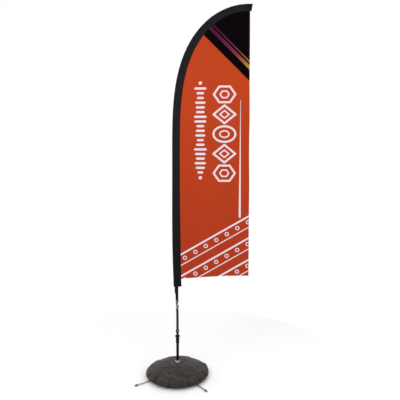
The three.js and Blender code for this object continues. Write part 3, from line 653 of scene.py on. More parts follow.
def carbon_finish(name, colour):
    """Rolled carbon tube: a lacquered twill that winds round the pole."""
    if name in bpy.data.materials:
        return bpy.data.materials[name]
    material, tree, shader = new_material(name)
    place = tree.nodes.new("ShaderNodeTexCoord").outputs["Object"]
    turned_place = add_node(tree, "ShaderNodeMapping", {
        "Vector": place, "Rotation": (math.radians(90), math.radians(45), 0.0)}).outputs[0]
    cloth = use_group(tree, weave_group(), vector=turned_place, pitch=0.0021)
    scuffs = use_group(tree, wear_group(), vector=place, amount=0.35, scale=35.0).outputs[0]
    settled = use_group(tree, dust_group(), vector=place, amount=0.03).outputs[0]
    colour = np.array(tuple(colour)[:3])
    ground = blend_colours(tree, cloth.outputs["Height"], colour * 0.6, colour * 1.25)
    ground = blend_colours(tree, scuffs, ground, (0.02, 0.02, 0.02))
    ground = blend_colours(tree, settled, ground, (0.4, 0.38, 0.35))
    tree.links.new(ground, shader.inputs["Base Color"])
    tree.links.new(calc(tree, "MULTIPLY_ADD", scuffs, 0.3, 0.42), shader.inputs["Roughness"])
    shader.inputs["Specular IOR Level"].default_value = 0.12
    shader.inputs["Coat Weight"].default_value = 0.03
    shader.inputs["Coat Roughness"].default_value = 0.3
    tree.links.new(bumped(tree, cloth.outputs["Height"], 0.02), shader.inputs["Normal"])
    return material


def cloth_finish(name, colour, pitch, roughness=0.85, sheen=0.04, uv=None, depth=0.12, shade=0.25,
                 dust=0.03, specular=0.1, darker_below=None):
    """Woven cloth or webbing. With a UV map its threads follow the piece."""
    if name in bpy.data.materials:
        return bpy.data.materials[name]
    material, tree, shader = new_material(name)
    if uv:
        place = add_node(tree, "ShaderNodeUVMap", uv_map=uv).outputs[0]
    else:
        place = tree.nodes.new("ShaderNodeTexCoord").outputs["Object"]
    body = tree.nodes.new("ShaderNodeTexCoord").outputs["Object"]
    cloth = use_group(tree, weave_group(), vector=place, pitch=pitch)
    surface = use_group(tree, grain_group(), vector=body, fine_scale=1400.0, broad_scale=9.0)
    settled = use_group(tree, dust_group(), vector=body, amount=dust).outputs[0]
    colour = np.array(tuple(colour)[:3])
    ground = blend_colours(tree, surface.outputs["Mottle"], colour * 0.82, colour * 1.16)
    gaps = calc(tree, "MULTIPLY", cloth.outputs["Gap"], shade)
    ground = blend_colours(tree, gaps, ground, colour * 0.3)
    ground = blend_colours(tree, settled, ground, (0.3, 0.29, 0.28))
    # Darker towards the bottom: 0.35 of the colour below the lower height, rising to the full
    # colour above the upper height.
    if darker_below:
        height = add_node(tree, "ShaderNodeSeparateXYZ", {0: body}).outputs[2]
        ground = blend_colours(tree, step_up(tree, height, *darker_below), colour * 0.35, ground)
    tree.links.new(ground, shader.inputs["Base Color"])
    rough = calc(tree, "MULTIPLY_ADD", surface.outputs["Mottle"], 0.1, roughness - 0.05, clamp=True)
    tree.links.new(rough, shader.inputs["Roughness"])
    shader.inputs["Sheen Weight"].default_value = sheen
    shader.inputs["Sheen Roughness"].default_value = 0.5
    shader.inputs["Specular IOR Level"].default_value = specular
    tree.links.new(bumped(tree, cloth.outputs["Height"], depth), shader.inputs["Normal"])
    return material


def finishes():
    """Every plain finish by name."""
    hardware = bpy.context.scene.flag_hardware
    pole = bpy.context.scene.flag_pole
    steel = hardware.steel_colour
    return {
        "leg_steel": hard_finish("Leg Steel", steel, 0.4, 0.85, (0.3, 0.27, 0.24), 0.35, 0.01),
        "bright_steel": hard_finish("Bright Steel", steel, 0.26, 1.0,
                                    (0.35, 0.34, 0.33), 0.15, 0.005),
        "hook_chrome": hard_finish("Hook Chrome", (0.78, 0.78, 0.8), 0.14, 1.0,
                                   (0.5, 0.5, 0.5), 0.1, 0.003),
        "black_steel": hard_finish("Black Powder Coat", hardware.black_colour, 0.55, 0.0,
                                   (0.04, 0.04, 0.04), 0.2, 0.05, 1300.0, 0.01, specular=0.12),
        "black_plastic": hard_finish("Black Plastic", hardware.plastic_colour, 0.55, 0.0,
                                     (0.04, 0.04, 0.04), 0.2, 0.035, 1500.0, 0.02, specular=0.14),
        "grey_plastic": hard_finish("Grey Plastic", hardware.collar_colour, 0.48, 0.0,
                                    (0.35, 0.34, 0.33), 0.2, 0.02),
        "nylon": hard_finish("Nylon", (0.66, 0.64, 0.6), 0.55, 0.0, (0.4, 0.39, 0.36), 0.2, 0.02),
        "cap_rubber": hard_finish("Cap Rubber", (0.1, 0.094, 0.09), 0.8, 0.0,
                                  (0.2, 0.19, 0.18), 0.3, 0.06, specular=0.3),
        "pole_carbon": carbon_finish("Pole Carbon", pole.carbon_colour),
        "fibreglass": hard_finish("Fibreglass", (0.012, 0.012, 0.014), 0.42, 0.0,
                                  (0.06, 0.06, 0.06), 0.25, 0.02),
        "brass": hard_finish("Brass", (0.6, 0.42, 0.17), 0.3, 1.0, (0.3, 0.22, 0.1), 0.2, 0.005),
        "webbing": cloth_finish("Strap Webbing", (0.007, 0.007, 0.008), 0.0012, 0.85, 0.03,
                                depth=0.25, shade=0.5),
    }


# ---------------------------------------------------------------- sewing


def stitch_tree():
    """Lays stitches end to end along every line of the mesh it is given."""
    name = "Row of Stitches"
    if name in bpy.data.node_groups:
        return bpy.data.node_groups[name]
    tree, given, made = new_group(
        name, "GeometryNodeTree",
        [("Lines", "NodeSocketGeometry"), ("Spacing", "NodeSocketFloat", 0.0042),
         ("Stitch Length", "NodeSocketFloat", 0.0032), ("Thread Radius", "NodeSocketFloat", 0.0003),
         ("Thread", "NodeSocketMaterial")],
        [("Stitches", "NodeSocketGeometry")])
    lines = add_node(tree, "GeometryNodeMeshToCurve", {"Mesh": given.outputs["Lines"]})
    spots = add_node(tree, "GeometryNodeCurveToPoints", {
        "Curve": lines.outputs[0], "Length": given.outputs["Spacing"]}, mode="LENGTH")
    grain = add_node(tree, "GeometryNodeMeshUVSphere", {"Segments": 6, "Rings": 4, "Radius": 1.0})
    half = calc(tree, "MULTIPLY", given.outputs["Stitch Length"], 0.5)
    shape = add_node(tree, "ShaderNodeCombineXYZ", {
        0: given.outputs["Thread Radius"], 1: given.outputs["Thread Radius"], 2: half})
    stitch = add_node(tree, "GeometryNodeTransform", {
        "Geometry": grain.outputs["Mesh"], "Scale": shape.outputs[0]})
    row = add_node(tree, "GeometryNodeInstanceOnPoints", {
        "Points": spots.outputs["Points"], "Instance": stitch.outputs[0],
        "Rotation": spots.outputs["Rotation"]})
    solid = add_node(tree, "GeometryNodeRealizeInstances", {0: row.outputs[0]})
    dyed = add_node(tree, "GeometryNodeSetMaterial", {
        "Geometry": solid.outputs[0], "Material": given.outputs["Thread"]})
    tree.links.new(dyed.outputs[0], made.inputs["Stitches"])
    return tree


def made_by_nodes(name, mesh, tree, **values):
    """A plain mesh piece from a node tree and its named inputs."""
    source = add_piece(name + "_work", mesh)
    change = source.modifiers.new("Nodes", "NODES")
    change.node_group = tree
    sockets = {s.name: s.identifier for s in tree.interface.items_tree
               if s.item_type == "SOCKET" and s.in_out == "INPUT"}
    for key, value in values.items():
        change[sockets[key.replace("_", " ").title()]] = value
    result = applied(source)
    bpy.data.objects.remove(source)
    result.shade_smooth()
    return add_piece(name, result)


def sewn(name, lines, thread, stitch, radius=0.00032, spacing=1.3):
    """A piece of stitches along lines given in millimetres."""
    points, edges = [], []
    for line in lines:
        start = len(points)
        points.extend((np.asarray(line, float) * MM).tolist())
        edges.extend((start + i, start + i + 1) for i in range(len(line) - 1))
    mesh = bpy.data.meshes.new(name)
    mesh.from_pydata(points, edges, [])
    return made_by_nodes(name, mesh, stitch_tree(), spacing=stitch * spacing, stitch_length=stitch,
                         thread_radius=radius, thread=thread)


# ---------------------------------------------------------------- tension cord

# The cord's route, the same as in the frame: from the crimp up over the hook, down behind
# and under the peg, and back to the crimp.
CORD_X = 4.0
CORD_FRONT = -27.9
CORD_BACK = -15.1
CORD_MIDDLE = -21.5
CORD_RADIUS = 1.6
CORD_ROUTE = [
    (CORD_FRONT, 355.3), (CORD_FRONT, 400), (CORD_FRONT, 440), (CORD_FRONT, 480),
    (CORD_FRONT, 510), (CORD_FRONT, 519.4), (-27, 522.6), (-24.7, 524.9), (CORD_MIDDLE, 525.8),
    (-18.3, 524.9), (-16, 522.6), (CORD_BACK, 519.4), (CORD_BACK, 510), (CORD_BACK, 480),
    (CORD_BACK, 440), (CORD_BACK, 400), (CORD_BACK, 360), (CORD_BACK, 345), (CORD_BACK, 336),
    (-16, 332.8), (-18.3, 330.5), (CORD_MIDDLE, 329.6), (-24.7, 330.5), (-27, 332.8),
    (CORD_FRONT, 336), (CORD_FRONT, 344.7),
]


def elastic_finish():
    """Braided elastic: two sets of strands that cross over a rubber core."""
    material, tree, shader = new_material("Braided Elastic")
    place = add_node(tree, "ShaderNodeUVMap", uv_map="strands").outputs[0]
    crossed = add_node(tree, "ShaderNodeMapping", {
        "Vector": place, "Rotation": (0.0, 0.0, math.radians(45))}).outputs[0]
    braid = use_group(tree, weave_group(), vector=crossed, pitch=0.0009)
    tree.links.new(
        blend_colours(tree, braid.outputs["Height"], (0.006, 0.006, 0.007), (0.035, 0.035, 0.038)),
        shader.inputs["Base Color"])
    tree.links.new(calc(tree, "MULTIPLY_ADD", braid.outputs["Gap"], 0.2, 0.7),
                   shader.inputs["Roughness"])
    shader.inputs["Sheen Weight"].default_value = 0.2
    tree.links.new(bumped(tree, braid.outputs["Height"], 0.2), shader.inputs["Normal"])
    return material


def build_cord():
    route = resampled(smooth_path([(CORD_X, y, z) for y, z in CORD_ROUTE], 6), 2.0)
    rings = swept(route, CORD_RADIUS, 14)
    mesh = make_mesh("tension_cord_braid", *loft(rings))
    strands = mesh.uv_layers.new(name="strands")
    sides = rings.shape[1]
    girth = 2 * math.pi * CORD_RADIUS * MM
    spacing = path_length(route) / (len(route) - 1) * MM
    for face in mesh.polygons:
        corners = [mesh.loops[i].vertex_index for i in face.loop_indices]
        wraps = len(corners) == 4 and {c % sides for c in corners} == {0, sides - 1}
        for loop in face.loop_indices:
            row, side = divmod(mesh.loops[loop].vertex_index, sides)
            share = 1.0 if wraps and side == 0 else side / sides
            strands.data[loop].uv = (share * girth, row * spacing)
    cord = add_piece("tension_cord_braid", mesh, elastic_finish())
    settle(cord, "pole", "elastic", "tension_cord")

    low, high = measured("cord_crimp")
    middle, radius = (low + high) / 2, (high[0] - low[0]) / 2
    bottom, top = low[2], high[2]
    waist = radius - 0.5
    profile = [
        (0, bottom), (radius - 0.7, bottom), (radius, bottom + 0.7), (radius, bottom + 3),
        (waist, bottom + 3.5), (waist, top - 3.5), (radius, top - 3), (radius, top - 0.7),
        (radius - 0.7, top), (0, top)]
    crimp = turned_mesh("crimp_sleeve", rounded(profile, 0.4), 28)
    crimp = add_piece("crimp_sleeve", placed(crimp, move=(middle[0], middle[1], 0)),
                      finishes()["bright_steel"])
    settle(crimp, "pole", "bright_steel", "cord_crimp")


# ---------------------------------------------------------------- pole


def build_pole():
    made = finishes()
    settings = bpy.context.scene.flag_pole
    radius, wall = settings.bottom_radius / MM, settings.wall / MM
    bottom_length = 640.0
    along = np.linspace(0, bottom_length, 108)
    angles = np.linspace(0, 2 * math.pi, 40, endpoint=False)

    def ring_at(distance, size):
        return beside_pole(distance, size * np.cos(angles), size * np.sin(angles))

    edge = 0.5
    outside = [ring_at(0, radius - edge)]
    outside += [ring_at(max(min(s, bottom_length - edge), edge), radius) for s in along]
    outside += [ring_at(bottom_length, radius - edge)]
    inside = [ring_at(s, radius - wall) for s in along[::-1]]
    mesh = make_mesh("bottom_tube", *loft(outside + inside, closed_path=True))
    tube = add_piece("bottom_tube", mesh, made["pole_carbon"])
    settle(tube, "pole", "pole_carbon", "pole_bottom_section")


# ---------------------------------------------------------------- sleeve


def ripple(points, scale, seed):
    """Smooth noise from -1 to 1 at points in millimetres."""
    offset = Vector((seed * 17.3, seed * 5.1, seed * 9.7))
    return np.array([noise.noise(Vector(p) * scale + offset) for p in points])


def sleeve_section(along, sides):
    """Ring of [across, depth] points: a pocket round the pole that closes into a flat tail."""
    settings = bpy.context.scene.flag_sleeve
    radius = float(pocket_radius(along)) + SLEEVE_WALL
    seam = float(seam_across(along))
    tail = settings.tail / MM / 2
    slack = settings.slack / MM * (1 - float(smoothstep(along, 500, 1350)))
    lip = 3.2
    opening = math.radians(48)
    arc = np.linspace(opening, 2 * math.pi - opening, sides - 18)
    pocket = np.stack([radius * np.cos(arc) - slack * np.sin((arc - opening) / 2 / (
        math.pi - opening) * math.pi) ** 2, radius * np.sin(arc)], 1)
    share = np.linspace(0, 1, 9)[1:]
    start = pocket[-1]
    across = start[0] + (seam - start[0]) * share
    fall = (1 - share) ** 2.2
    depth = -(tail + (abs(start[1]) - tail) * fall)
    depth -= np.where(share > 1 - lip / (seam - start[0]) * 2, 0.25, 0.0)
    front = np.stack([across, depth], 1)
    nose = np.array([[seam + 0.1, -tail * 0.5], [seam + 0.1, tail * 0.5]])
    back = front[::-1] * [1, -1]
    return np.vstack([pocket, front, nose, back])


def sleeve_finish():
    sleeve = bpy.context.scene.flag_sleeve
    return cloth_finish("Sleeve Cloth", sleeve.cloth_colour, 0.0011, 0.8, 0.05, uv="cloth",
                        depth=0.14, shade=0.35, darker_below=(0.5, 1.9))


def add_cloth_map(mesh, rows, sides, along, girth):
    """UV map in metres: round the ring, and along the piece."""
    layer = mesh.uv_layers.new(name="cloth")
    values = np.zeros((len(mesh.loops), 2))
    loops = np.zeros(len(mesh.loops), int)
    mesh.loops.foreach_get("vertex_index", loops)
    starts = np.zeros(len(mesh.polygons), int)
    totals = np.zeros(len(mesh.polygons), int)
    mesh.polygons.foreach_get("loop_start", starts)
    mesh.polygons.foreach_get("loop_total", totals)
    row, side = loops // sides, loops % sides
    values[:, 0] = side / sides * girth * MM
    values[:, 1] = np.asarray(along)[np.minimum(row, rows - 1)] * MM
    owner = np.repeat(np.arange(len(totals)), totals)
    highest = np.maximum.reduceat(side, starts)
    lowest = np.minimum.reduceat(side, starts)
    wraps = (highest == sides - 1) & (lowest == 0) & (totals == 4)
    seam = wraps[owner] & (side == 0)
    values[seam, 0] = girth * MM
    layer.data.foreach_set("uv", values.ravel())


def build_sleeve():
    settings = bpy.context.scene.flag_sleeve
    gather = settings.gather / MM
    sides = 52
    along = np.linspace(SLEEVE_START, SLEEVE_END - 1.5, 340)
    outer = []
    for s in along:
        section = sleeve_section(s, sides)
        flat = np.stack([section[:, 0] * 0.09, section[:, 1] * 0.05,
                         np.full(len(section), s * 0.05)], 1)
        bend = float(smoothstep(s, 1500, 2500))
        waves = ripple(flat, 1.0, 3) + 0.5 * ripple(flat * [1, 1, 2.6], 1.0, 8)
        depth_share = smoothstep(np.abs(section[:, 1]), 0.4, 1.6)
        lift = gather * (0.55 + 0.9 * bend) * waves * depth_share
        outward = section / np.maximum(np.linalg.norm(section, axis=1), 1e-6)[:, None]
        tail_part = smoothstep(section[:, 0], 8, 20)
        push = outward * (1 - tail_part)[:, None]
        push[:, 1] += np.sign(section[:, 1]) * tail_part
        section = section + push * np.maximum(lift, -0.7)[:, None]
        outer.append(beside_pole(s, section[:, 0], section[:, 1]))
    sides = len(outer[0])
    turn = np.linspace(math.radians(48), math.radians(48) + 2 * math.pi, sides, endpoint=False)
    inner = []
    for s in along[::-1]:
        reach = float(pocket_radius(s))
        inner.append(beside_pole(max(s - 1.2, SLEEVE_START),
                                 reach * np.cos(turn), reach * np.sin(turn)))
    points, faces = loft(outer, cap_start=False)
    inner_points, inner_faces = loft(inner, cap_start=True, cap_end=False)
    first = len(points)
    faces += [[v + first for v in face] for face in inner_faces]
    last = first + len(inner_points) - sides
    for i in range(sides):
        j = (i + 1) % sides
        faces.append([last + i, last + j, j, i])
    mesh = make_mesh("sleeve_cloth", np.vstack([points, inner_points]), faces)
    add_cloth_map(mesh, len(along), sides, along, 130.0)
    sleeve = add_piece("sleeve_cloth", mesh, sleeve_finish())
    settle(sleeve, "pole", "sleeve_cloth", "pole_sleeve")

    thread = cloth_finish("Sleeve Thread", settings.thread_colour, 0.0004, 0.6, 0.1)
    lines = []
    stations = np.linspace(SLEEVE_START + 3, SLEEVE_END - 8, 420)
    for inset in (2.5, 7.5):
        for face_side in (-1, 1):
            across = seam_across(stations) - inset
            depth = face_side * (settings.tail / MM / 2 + 0.75)
            lines.append(beside_pole(stations, across, np.full(len(stations), depth)))
    seams = sewn("sleeve_stitches", lines, thread, 0.0034)
    settle(seams, "pole", "sleeve_cloth")

    cover_start, cover_end = 2756.0, 2797.5
    rings = []
    for share in np.linspace(0, 1, 22):
        station = cover_start + (cover_end - cover_start) * share
        section = sleeve_section(min(station, SLEEVE_END), sides)
        grow = 0.9 + 0.25 * math.sin(share * math.pi * 7)
        section = section + np.sign(section) * grow * np.minimum(1, np.abs(section) / 3)
        slant = (section[:, 0] - 20) * 0.12
        reach = station - slant * share
        rings.append(beside_pole(reach, section[:, 0], section[:, 1]))
    mesh = make_mesh("tip_cover", *loft(rings))
    cover = add_piece("tip_cover", mesh, finishes()["webbing"])
    settle(cover, "pole", "webbing", "tip_pocket")


# ---------------------------------------------------------------- sail

SAIL_CORNER = 2330.0

# The print: places and sizes of its plain marks.
BAND_X, BAND_LOW, BAND_PITCH, BAND_LINE = 358.0, 1566.0, 146.0, 7.4
BARS_X, BARS_LOW, BARS_PITCH, BARS_COUNT, BARS_LINE = 178, 1572, 34.5, 19, 8.6
BARS_ENDS = (1532, 2232)
RULE_X, RULE_TOP, RULE_FOOT = 477.0, 2110, 1236
SLANT, SLANT_TOP, SLANT_PITCH, SLANT_COUNT = math.radians(30), 925, 85, 6
SLANT_REACH = 560
THICK_LINE, THIN_LINE, RING_LINE = 6.6, 3.6, 3.4
RING_RADIUS, RING_PITCH = 13, 80
# The dark corner's edge and stripes, in metres.
CORNER_TURN = math.radians(44.3)
CORNER_START = (0.204, 2.576)
CORNER_STRIPES = ((0.070, 0.012), (0.100, 0.005))
STRIPE_RUN = (-1.65, -1.16)
PRINT_BLUR = 0.0006


def sail_seam(along):
    """The sail's sewn edge, caught between the two layers of the sleeve's tail."""
    return beside_pole(along, seam_across(along) - 3.0)[..., [0, 2]]


def sail_edges():
    """The sail's four sides as [across, up] points: seam, top, free edge and foot."""
    cell = bpy.context.scene.flag_sail.cell / MM
    free_edge = float(beside_pole(POLE_LENGTH)[0]) - SAIL_EDGE_INSET
    top_x = free_edge - 8
    stations = np.linspace(SAIL_CORNER, POLE_LENGTH, 500)
    top_end = float(np.interp(top_x, sail_seam(stations)[:, 0], stations))
    rows = int(round((SAIL_CORNER - SAIL_START) / cell))
    columns = int(round(500 / cell))
    seam = sail_seam(np.linspace(SAIL_START, SAIL_CORNER, rows + 1))
    top = sail_seam(np.linspace(SAIL_CORNER, top_end, columns + 1))
    v = np.linspace(0, 1, rows + 1)[:, None]
    low, high = np.array([free_edge, SAIL_FOOT]), top[-1]
    free = low * (1 - v) + high * v
    sag = np.stack([1.4 * np.sin(v[:, 0] * 23) * np.sin(math.pi * v[:, 0]), 0 * v[:, 0]], 1)
    free = free + sag
    u = np.linspace(0, 1, columns + 1)[:, None]
    control = np.array([(seam[0][0] + free_edge) / 2, SAIL_FOOT + 3])
    foot = (1 - u) ** 2 * seam[0] + 2 * u * (1 - u) * control + u * u * low
    return seam, top, free, foot


def sail_grid():
    """[across, up] points of the sail's cells, between its four sides."""
    seam, top, free, foot = sail_edges()
    rows, columns = len(seam), len(foot)
    u = np.linspace(0, 1, columns)[None, :, None]
    v = np.linspace(0, 1, rows)[:, None, None]
    sides = (1 - v) * foot[None] + v * top[None] + (1 - u) * seam[:, None] + u * free[:, None]
    corners = ((1 - u) * (1 - v) * foot[0] + u * (1 - v) * foot[-1]
               + (1 - u) * v * top[0] + u * v * top[-1])
    return sides - corners, u[0, :, 0], v[:, 0, 0]


def sail_depth(grid, u, v):
    """How far each point of the cloth stands out of the sail's plane."""
    billow = bpy.context.scene.flag_sail.billow / MM
    across, up = np.meshgrid(u, v)
    x, z = grid[..., 0], grid[..., 1]
    belly = (np.sin(np.clip(across, 0, 1) * math.pi * 0.62)
             * np.sin(math.pi * np.clip(up, 0, 1)) ** 0.7)
    drift = np.sin(z / 310 + 1.1) * 0.35 + np.sin(z / 148 + across * 2.2) * 0.16
    pull = np.sin((x * 0.8 + z * 0.6) / 62) * np.exp(-((z - 830) / 210) ** 2) * across * 0.22
    fan = np.sin((x * 0.45 - z) / 47) * np.exp(-((z - 2560) / 230) ** 2) * across * 0.2
    edge = np.sin(z / 74 + 0.6) * smoothstep(across, 0.72, 1.0) * 0.3
    folds = smoothstep(across, 0.0, 0.3) * (drift + pull + fan + edge) * 0.9
    return billow * (-0.7 * belly + folds)


def line_fields(points, lines):
    """The printed line nearest to each point: the point's distance from its middle, with a sign
    for the side it lies on and without, and the line's half width there."""
    near = np.full(len(points), 1e3)
    side, half_width = near.copy(), np.full(len(points), 1.0)
    for path, half in lines:
        path, half = np.asarray(path, float), np.broadcast_to(half, (len(path),))
        for a, b, ha, hb in zip(path, path[1:], half, half[1:]):
            reach = max(ha, hb) + 22
            low, high = np.minimum(a, b) - reach, np.maximum(a, b) + reach
            close = np.flatnonzero(((points > low) & (points < high)).all(axis=1))
            offset, run = points[close] - a, b - a
            share = np.clip(offset @ run / max(run @ run, 1e-9), 0, 1)
            gap = np.linalg.norm(offset - share[:, None] * run, axis=1)
            width = ha + (hb - ha) * share
            better = gap - width < near[close] - half_width[close]
            chosen = close[better]
            cross = run[0] * offset[better, 1] - run[1] * offset[better, 0]
            near[chosen] = gap[better]
            side[chosen] = gap[better] * np.where(cross < 0, -1, 1)
            half_width[chosen] = width[better]
    return near, side, half_width


def outline(sides, radius_x, radius_y):
    """A closed line round a centre, from a rhombus to an oval."""
    angles = np.linspace(0, 2 * math.pi, sides + 1)
    return np.stack([radius_x * np.cos(angles), radius_y * np.sin(angles)], 1)


def printed_lines():
    """The print's pale lines: a band of plain outlines, a column of bars, a tapering rule, and
    slanting lines at one pitch with rows of small rings between them."""
    lines = []
    rhombus, hexagon = outline(4, 82, 66), outline(6, 80, 66)
    oval = outline(44, 82, 58)
    for k, shape in enumerate((hexagon, rhombus, oval, rhombus, hexagon)):
        centre = [BAND_X, BAND_LOW + BAND_PITCH * k]
        lines.append((shape + centre, BAND_LINE))
        lines.append((shape * 0.42 + centre, BAND_LINE * 0.7))
    for k in range(BARS_COUNT):
        height = BARS_LOW + BARS_PITCH * k
        reach = 27 - 8 * math.cos(k * 1.9) - 6 * math.cos(k * 0.8)
        lines.append((np.array([[BARS_X - reach, height], [BARS_X + reach, height]]), BARS_LINE))
    for height in BARS_ENDS:
        lines.append((outline(12, 5, 5) + [BARS_X, height], 8.0))

    lines.append((np.array([[RULE_X, RULE_TOP], [RULE_X, RULE_FOOT]]), np.array([1.2, 8.0])))

    rise = math.tan(SLANT)
    for k in range(SLANT_COUNT):
        start = SLANT_TOP - SLANT_PITCH * k
        lines.append((np.array([[0, start], [SLANT_REACH, start + SLANT_REACH * rise]]),
                      THIN_LINE if k % 2 else THICK_LINE))
    ring = outline(26, RING_RADIUS, RING_RADIUS)
    for k in range(0, SLANT_COUNT, 2):
        for across in range(60, SLANT_REACH, RING_PITCH):
            middle = SLANT_TOP - SLANT_PITCH * (k + 0.5) + across * rise
            lines.append((ring + [across, middle], RING_LINE))
    return lines


def add_field(mesh, name, values):
    field = mesh.attributes.new(name, "FLOAT", "POINT")
    field.data.foreach_set("value", np.asarray(values, np.float32))


def print_finish():
    """Printed polyester: ground colour, dark corner with two stripes, pale lines and weave."""
    sail = bpy.context.scene.flag_sail
    material, tree, shader = new_material("Printed Sail Cloth")
    flat = add_node(tree, "ShaderNodeUVMap", uv_map="cloth").outputs[0]
    place = tree.nodes.new("ShaderNodeTexCoord").outputs["Object"]
    parts = add_node(tree, "ShaderNodeSeparateXYZ", {0: flat})
    surface = use_group(tree, grain_group(), vector=place, fine_scale=1300.0, broad_scale=3.2)
    cloth = use_group(tree, weave_group(), vector=flat, pitch=0.0009)

    def field(name):
        return add_node(tree, "ShaderNodeAttribute", attribute_name=name).outputs["Fac"]

    height = step_up(tree, parts.outputs[1], 0.8, 2.4)
    upper, lower = (np.array(tuple(c)) for c in (sail.upper_colour, sail.lower_colour))
    ground = blend_colours(tree, height, lower, upper)
    mottled = calc(tree, "MULTIPLY", surface.outputs["Mottle"], 0.16)
    ground = blend_colours(tree, mottled, ground, lower * 0.7)

    sine, cosine = math.sin(CORNER_TURN), math.cos(CORNER_TURN)
    corner_from = CORNER_START[0] * sine + CORNER_START[1] * cosine
    edge = calc(tree, "ADD", calc(tree, "MULTIPLY", parts.outputs[0], sine),
                calc(tree, "MULTIPLY", parts.outputs[1], cosine))
    run = calc(tree, "SUBTRACT", calc(tree, "MULTIPLY", parts.outputs[0], cosine),
               calc(tree, "MULTIPLY", parts.outputs[1], sine))

    def past(place):
        return step_up(tree, edge, place - PRINT_BLUR, place + PRINT_BLUR)

    dark = past(corner_from)
    stripes = [
        calc(tree, "SUBTRACT", past(corner_from + offset - half), past(corner_from + offset + half))
        for offset, half in CORNER_STRIPES]
    glow = calc(tree, "MULTIPLY", calc(tree, "ADD", *stripes, clamp=True), 0.62)
    share = step_up(tree, run, *STRIPE_RUN)
    ramp = add_node(tree, "ShaderNodeValToRGB", {"Fac": share})
    colours = [(0.0, (0.13, 0.012, 0.06)), (0.35, (0.24, 0.03, 0.1)), (0.6, (0.36, 0.06, 0.07)),
               (0.78, (0.55, 0.2, 0.05)), (1.0, (0.75, 0.6, 0.1))]
    ramp.color_ramp.elements[0].position, ramp.color_ramp.elements[1].position = 0.0, 1.0
    for position, _ in colours[1:-1]:
        ramp.color_ramp.elements.new(position)
    for element, (_, colour) in zip(ramp.color_ramp.elements, colours):
        element.color = (*colour, 1.0)
    corner = blend_colours(tree, glow, tuple(sail.corner_colour), ramp.outputs[0])
    ground = blend_colours(tree, dark, ground, corner)

    half = field("line_half")
    edge = calc(tree, "SUBTRACT", calc(tree, "ABSOLUTE", field("line_side")), half)
    ends = calc(tree, "SUBTRACT", field("line_near"), half)
    lines = calc(tree, "MULTIPLY", calc(tree, "SUBTRACT", 1.0, step_up(tree, edge, -0.6, 0.6)),
                 calc(tree, "SUBTRACT", 1.0, step_up(tree, ends, 0.8, 2.2)))
    grained = calc(tree, "MULTIPLY_ADD", surface.outputs["Height"], 0.1, 0.9)
    lines = calc(tree, "MULTIPLY", lines, grained)
    ground = blend_colours(tree, lines, ground, tuple(sail.line_colour))
    gaps = calc(tree, "MULTIPLY", cloth.outputs["Gap"], 0.2)
    ground = blend_colours(tree, gaps, ground, blend_colours(tree, 0.5, ground, (0.05, 0.02, 0.02)))
    tree.links.new(ground, shader.inputs["Base Color"])
    tree.links.new(calc(tree, "MULTIPLY_ADD", surface.outputs["Mottle"], 0.08, 0.78),
                   shader.inputs["Roughness"])
    shader.inputs["Specular IOR Level"].default_value = 0.03
    tree.links.new(bumped(tree, cloth.outputs["Height"], 0.1), shader.inputs["Normal"])
    return material


def build_sail():
    settings = bpy.context.scene.flag_sail
    grid, u, v = sail_grid()
    rows, columns = grid.shape[:2]
    depth = sail_depth(grid, u, v)
    hem = settings.hem / MM
    foot = sail_edges()[3]
    from_edge = grid[:, -1:, 0] - grid[..., 0]
    from_foot = grid[..., 1] - foot[None, :, 1]
    in_hem = np.maximum(1 - smoothstep(from_edge, hem - 0.4, hem + 0.9),
                        1 - smoothstep(from_foot, hem - 0.4, hem + 0.9))
    in_hem = in_hem * smoothstep(from_edge, -1, 1.0)
    half = settings.thickness / MM / 2 * (1 + 0.7 * in_hem)
    pucker = 0.35 * in_hem * np.sin(grid[..., 1] / 5.2) * np.sin(grid[..., 0] / 6.1)
    middle = depth + pucker
    front = np.stack([grid[..., 0], middle - half, grid[..., 1]], -1)
    back = np.stack([grid[..., 0], middle + half, grid[..., 1]], -1)
    index = np.arange(rows * columns).reshape(rows, columns)
    total = rows * columns
    quads = np.stack([index[:-1, :-1], index[:-1, 1:], index[1:, 1:], index[1:, :-1]], -1)
    quads = quads.reshape(-1, 4)
    rim = np.concatenate([index[0], index[1:, -1], index[-1, -2::-1], index[-2:0:-1, 0]])
    after = np.roll(rim, -1)
    edge = np.stack([rim, rim + total, after + total, after], -1)
    faces = quads.tolist() + (quads[:, ::-1] + total).tolist() + edge.tolist()
    mesh = make_mesh("sail_cloth", np.vstack([front.reshape(-1, 3), back.reshape(-1, 3)]), faces)

    flat = grid.reshape(-1, 2)
    layer = mesh.uv_layers.new(name="cloth")
    loops = np.zeros(len(mesh.loops), int)
    mesh.loops.foreach_get("vertex_index", loops)
    layer.data.foreach_set("uv", (flat[loops % total] * MM).ravel())
    names = ("line_near", "line_side", "line_half")
    for name, values in zip(names, line_fields(flat, printed_lines())):
        add_field(mesh, name, np.tile(values, 2))
    sail = add_piece("sail_cloth", mesh, print_finish())
    settle(sail, "pole", "sail_cloth", "sail")

    thread = cloth_finish("Hem Thread", settings.thread_colour, 0.0004, 0.6, 0.1)
    lines = []
    inset = hem - 2.0
    column = int(np.argmin(np.abs(from_edge[rows // 2] - inset)))
    for sign in (-1, 1):
        shift = half[rows // 2, column] + 0.12
        line = np.stack([grid[2:-1, column, 0], middle[2:-1, column] + sign * shift,
                         grid[2:-1, column, 1]], -1)
        lines.append(line)
        row = int(np.argmin(np.abs(from_foot[:, columns // 2] - inset)))
        line = np.stack([grid[row, 1:-2, 0], middle[row, 1:-2] + sign * shift,
                         grid[row, 1:-2, 1]], -1)
        lines.append(line)
    stitches = sewn("sail_stitches", lines, thread, settings.stitch)
    settle(stitches, "pole", "sail_cloth")


# ---------------------------------------------------------------- tensioner


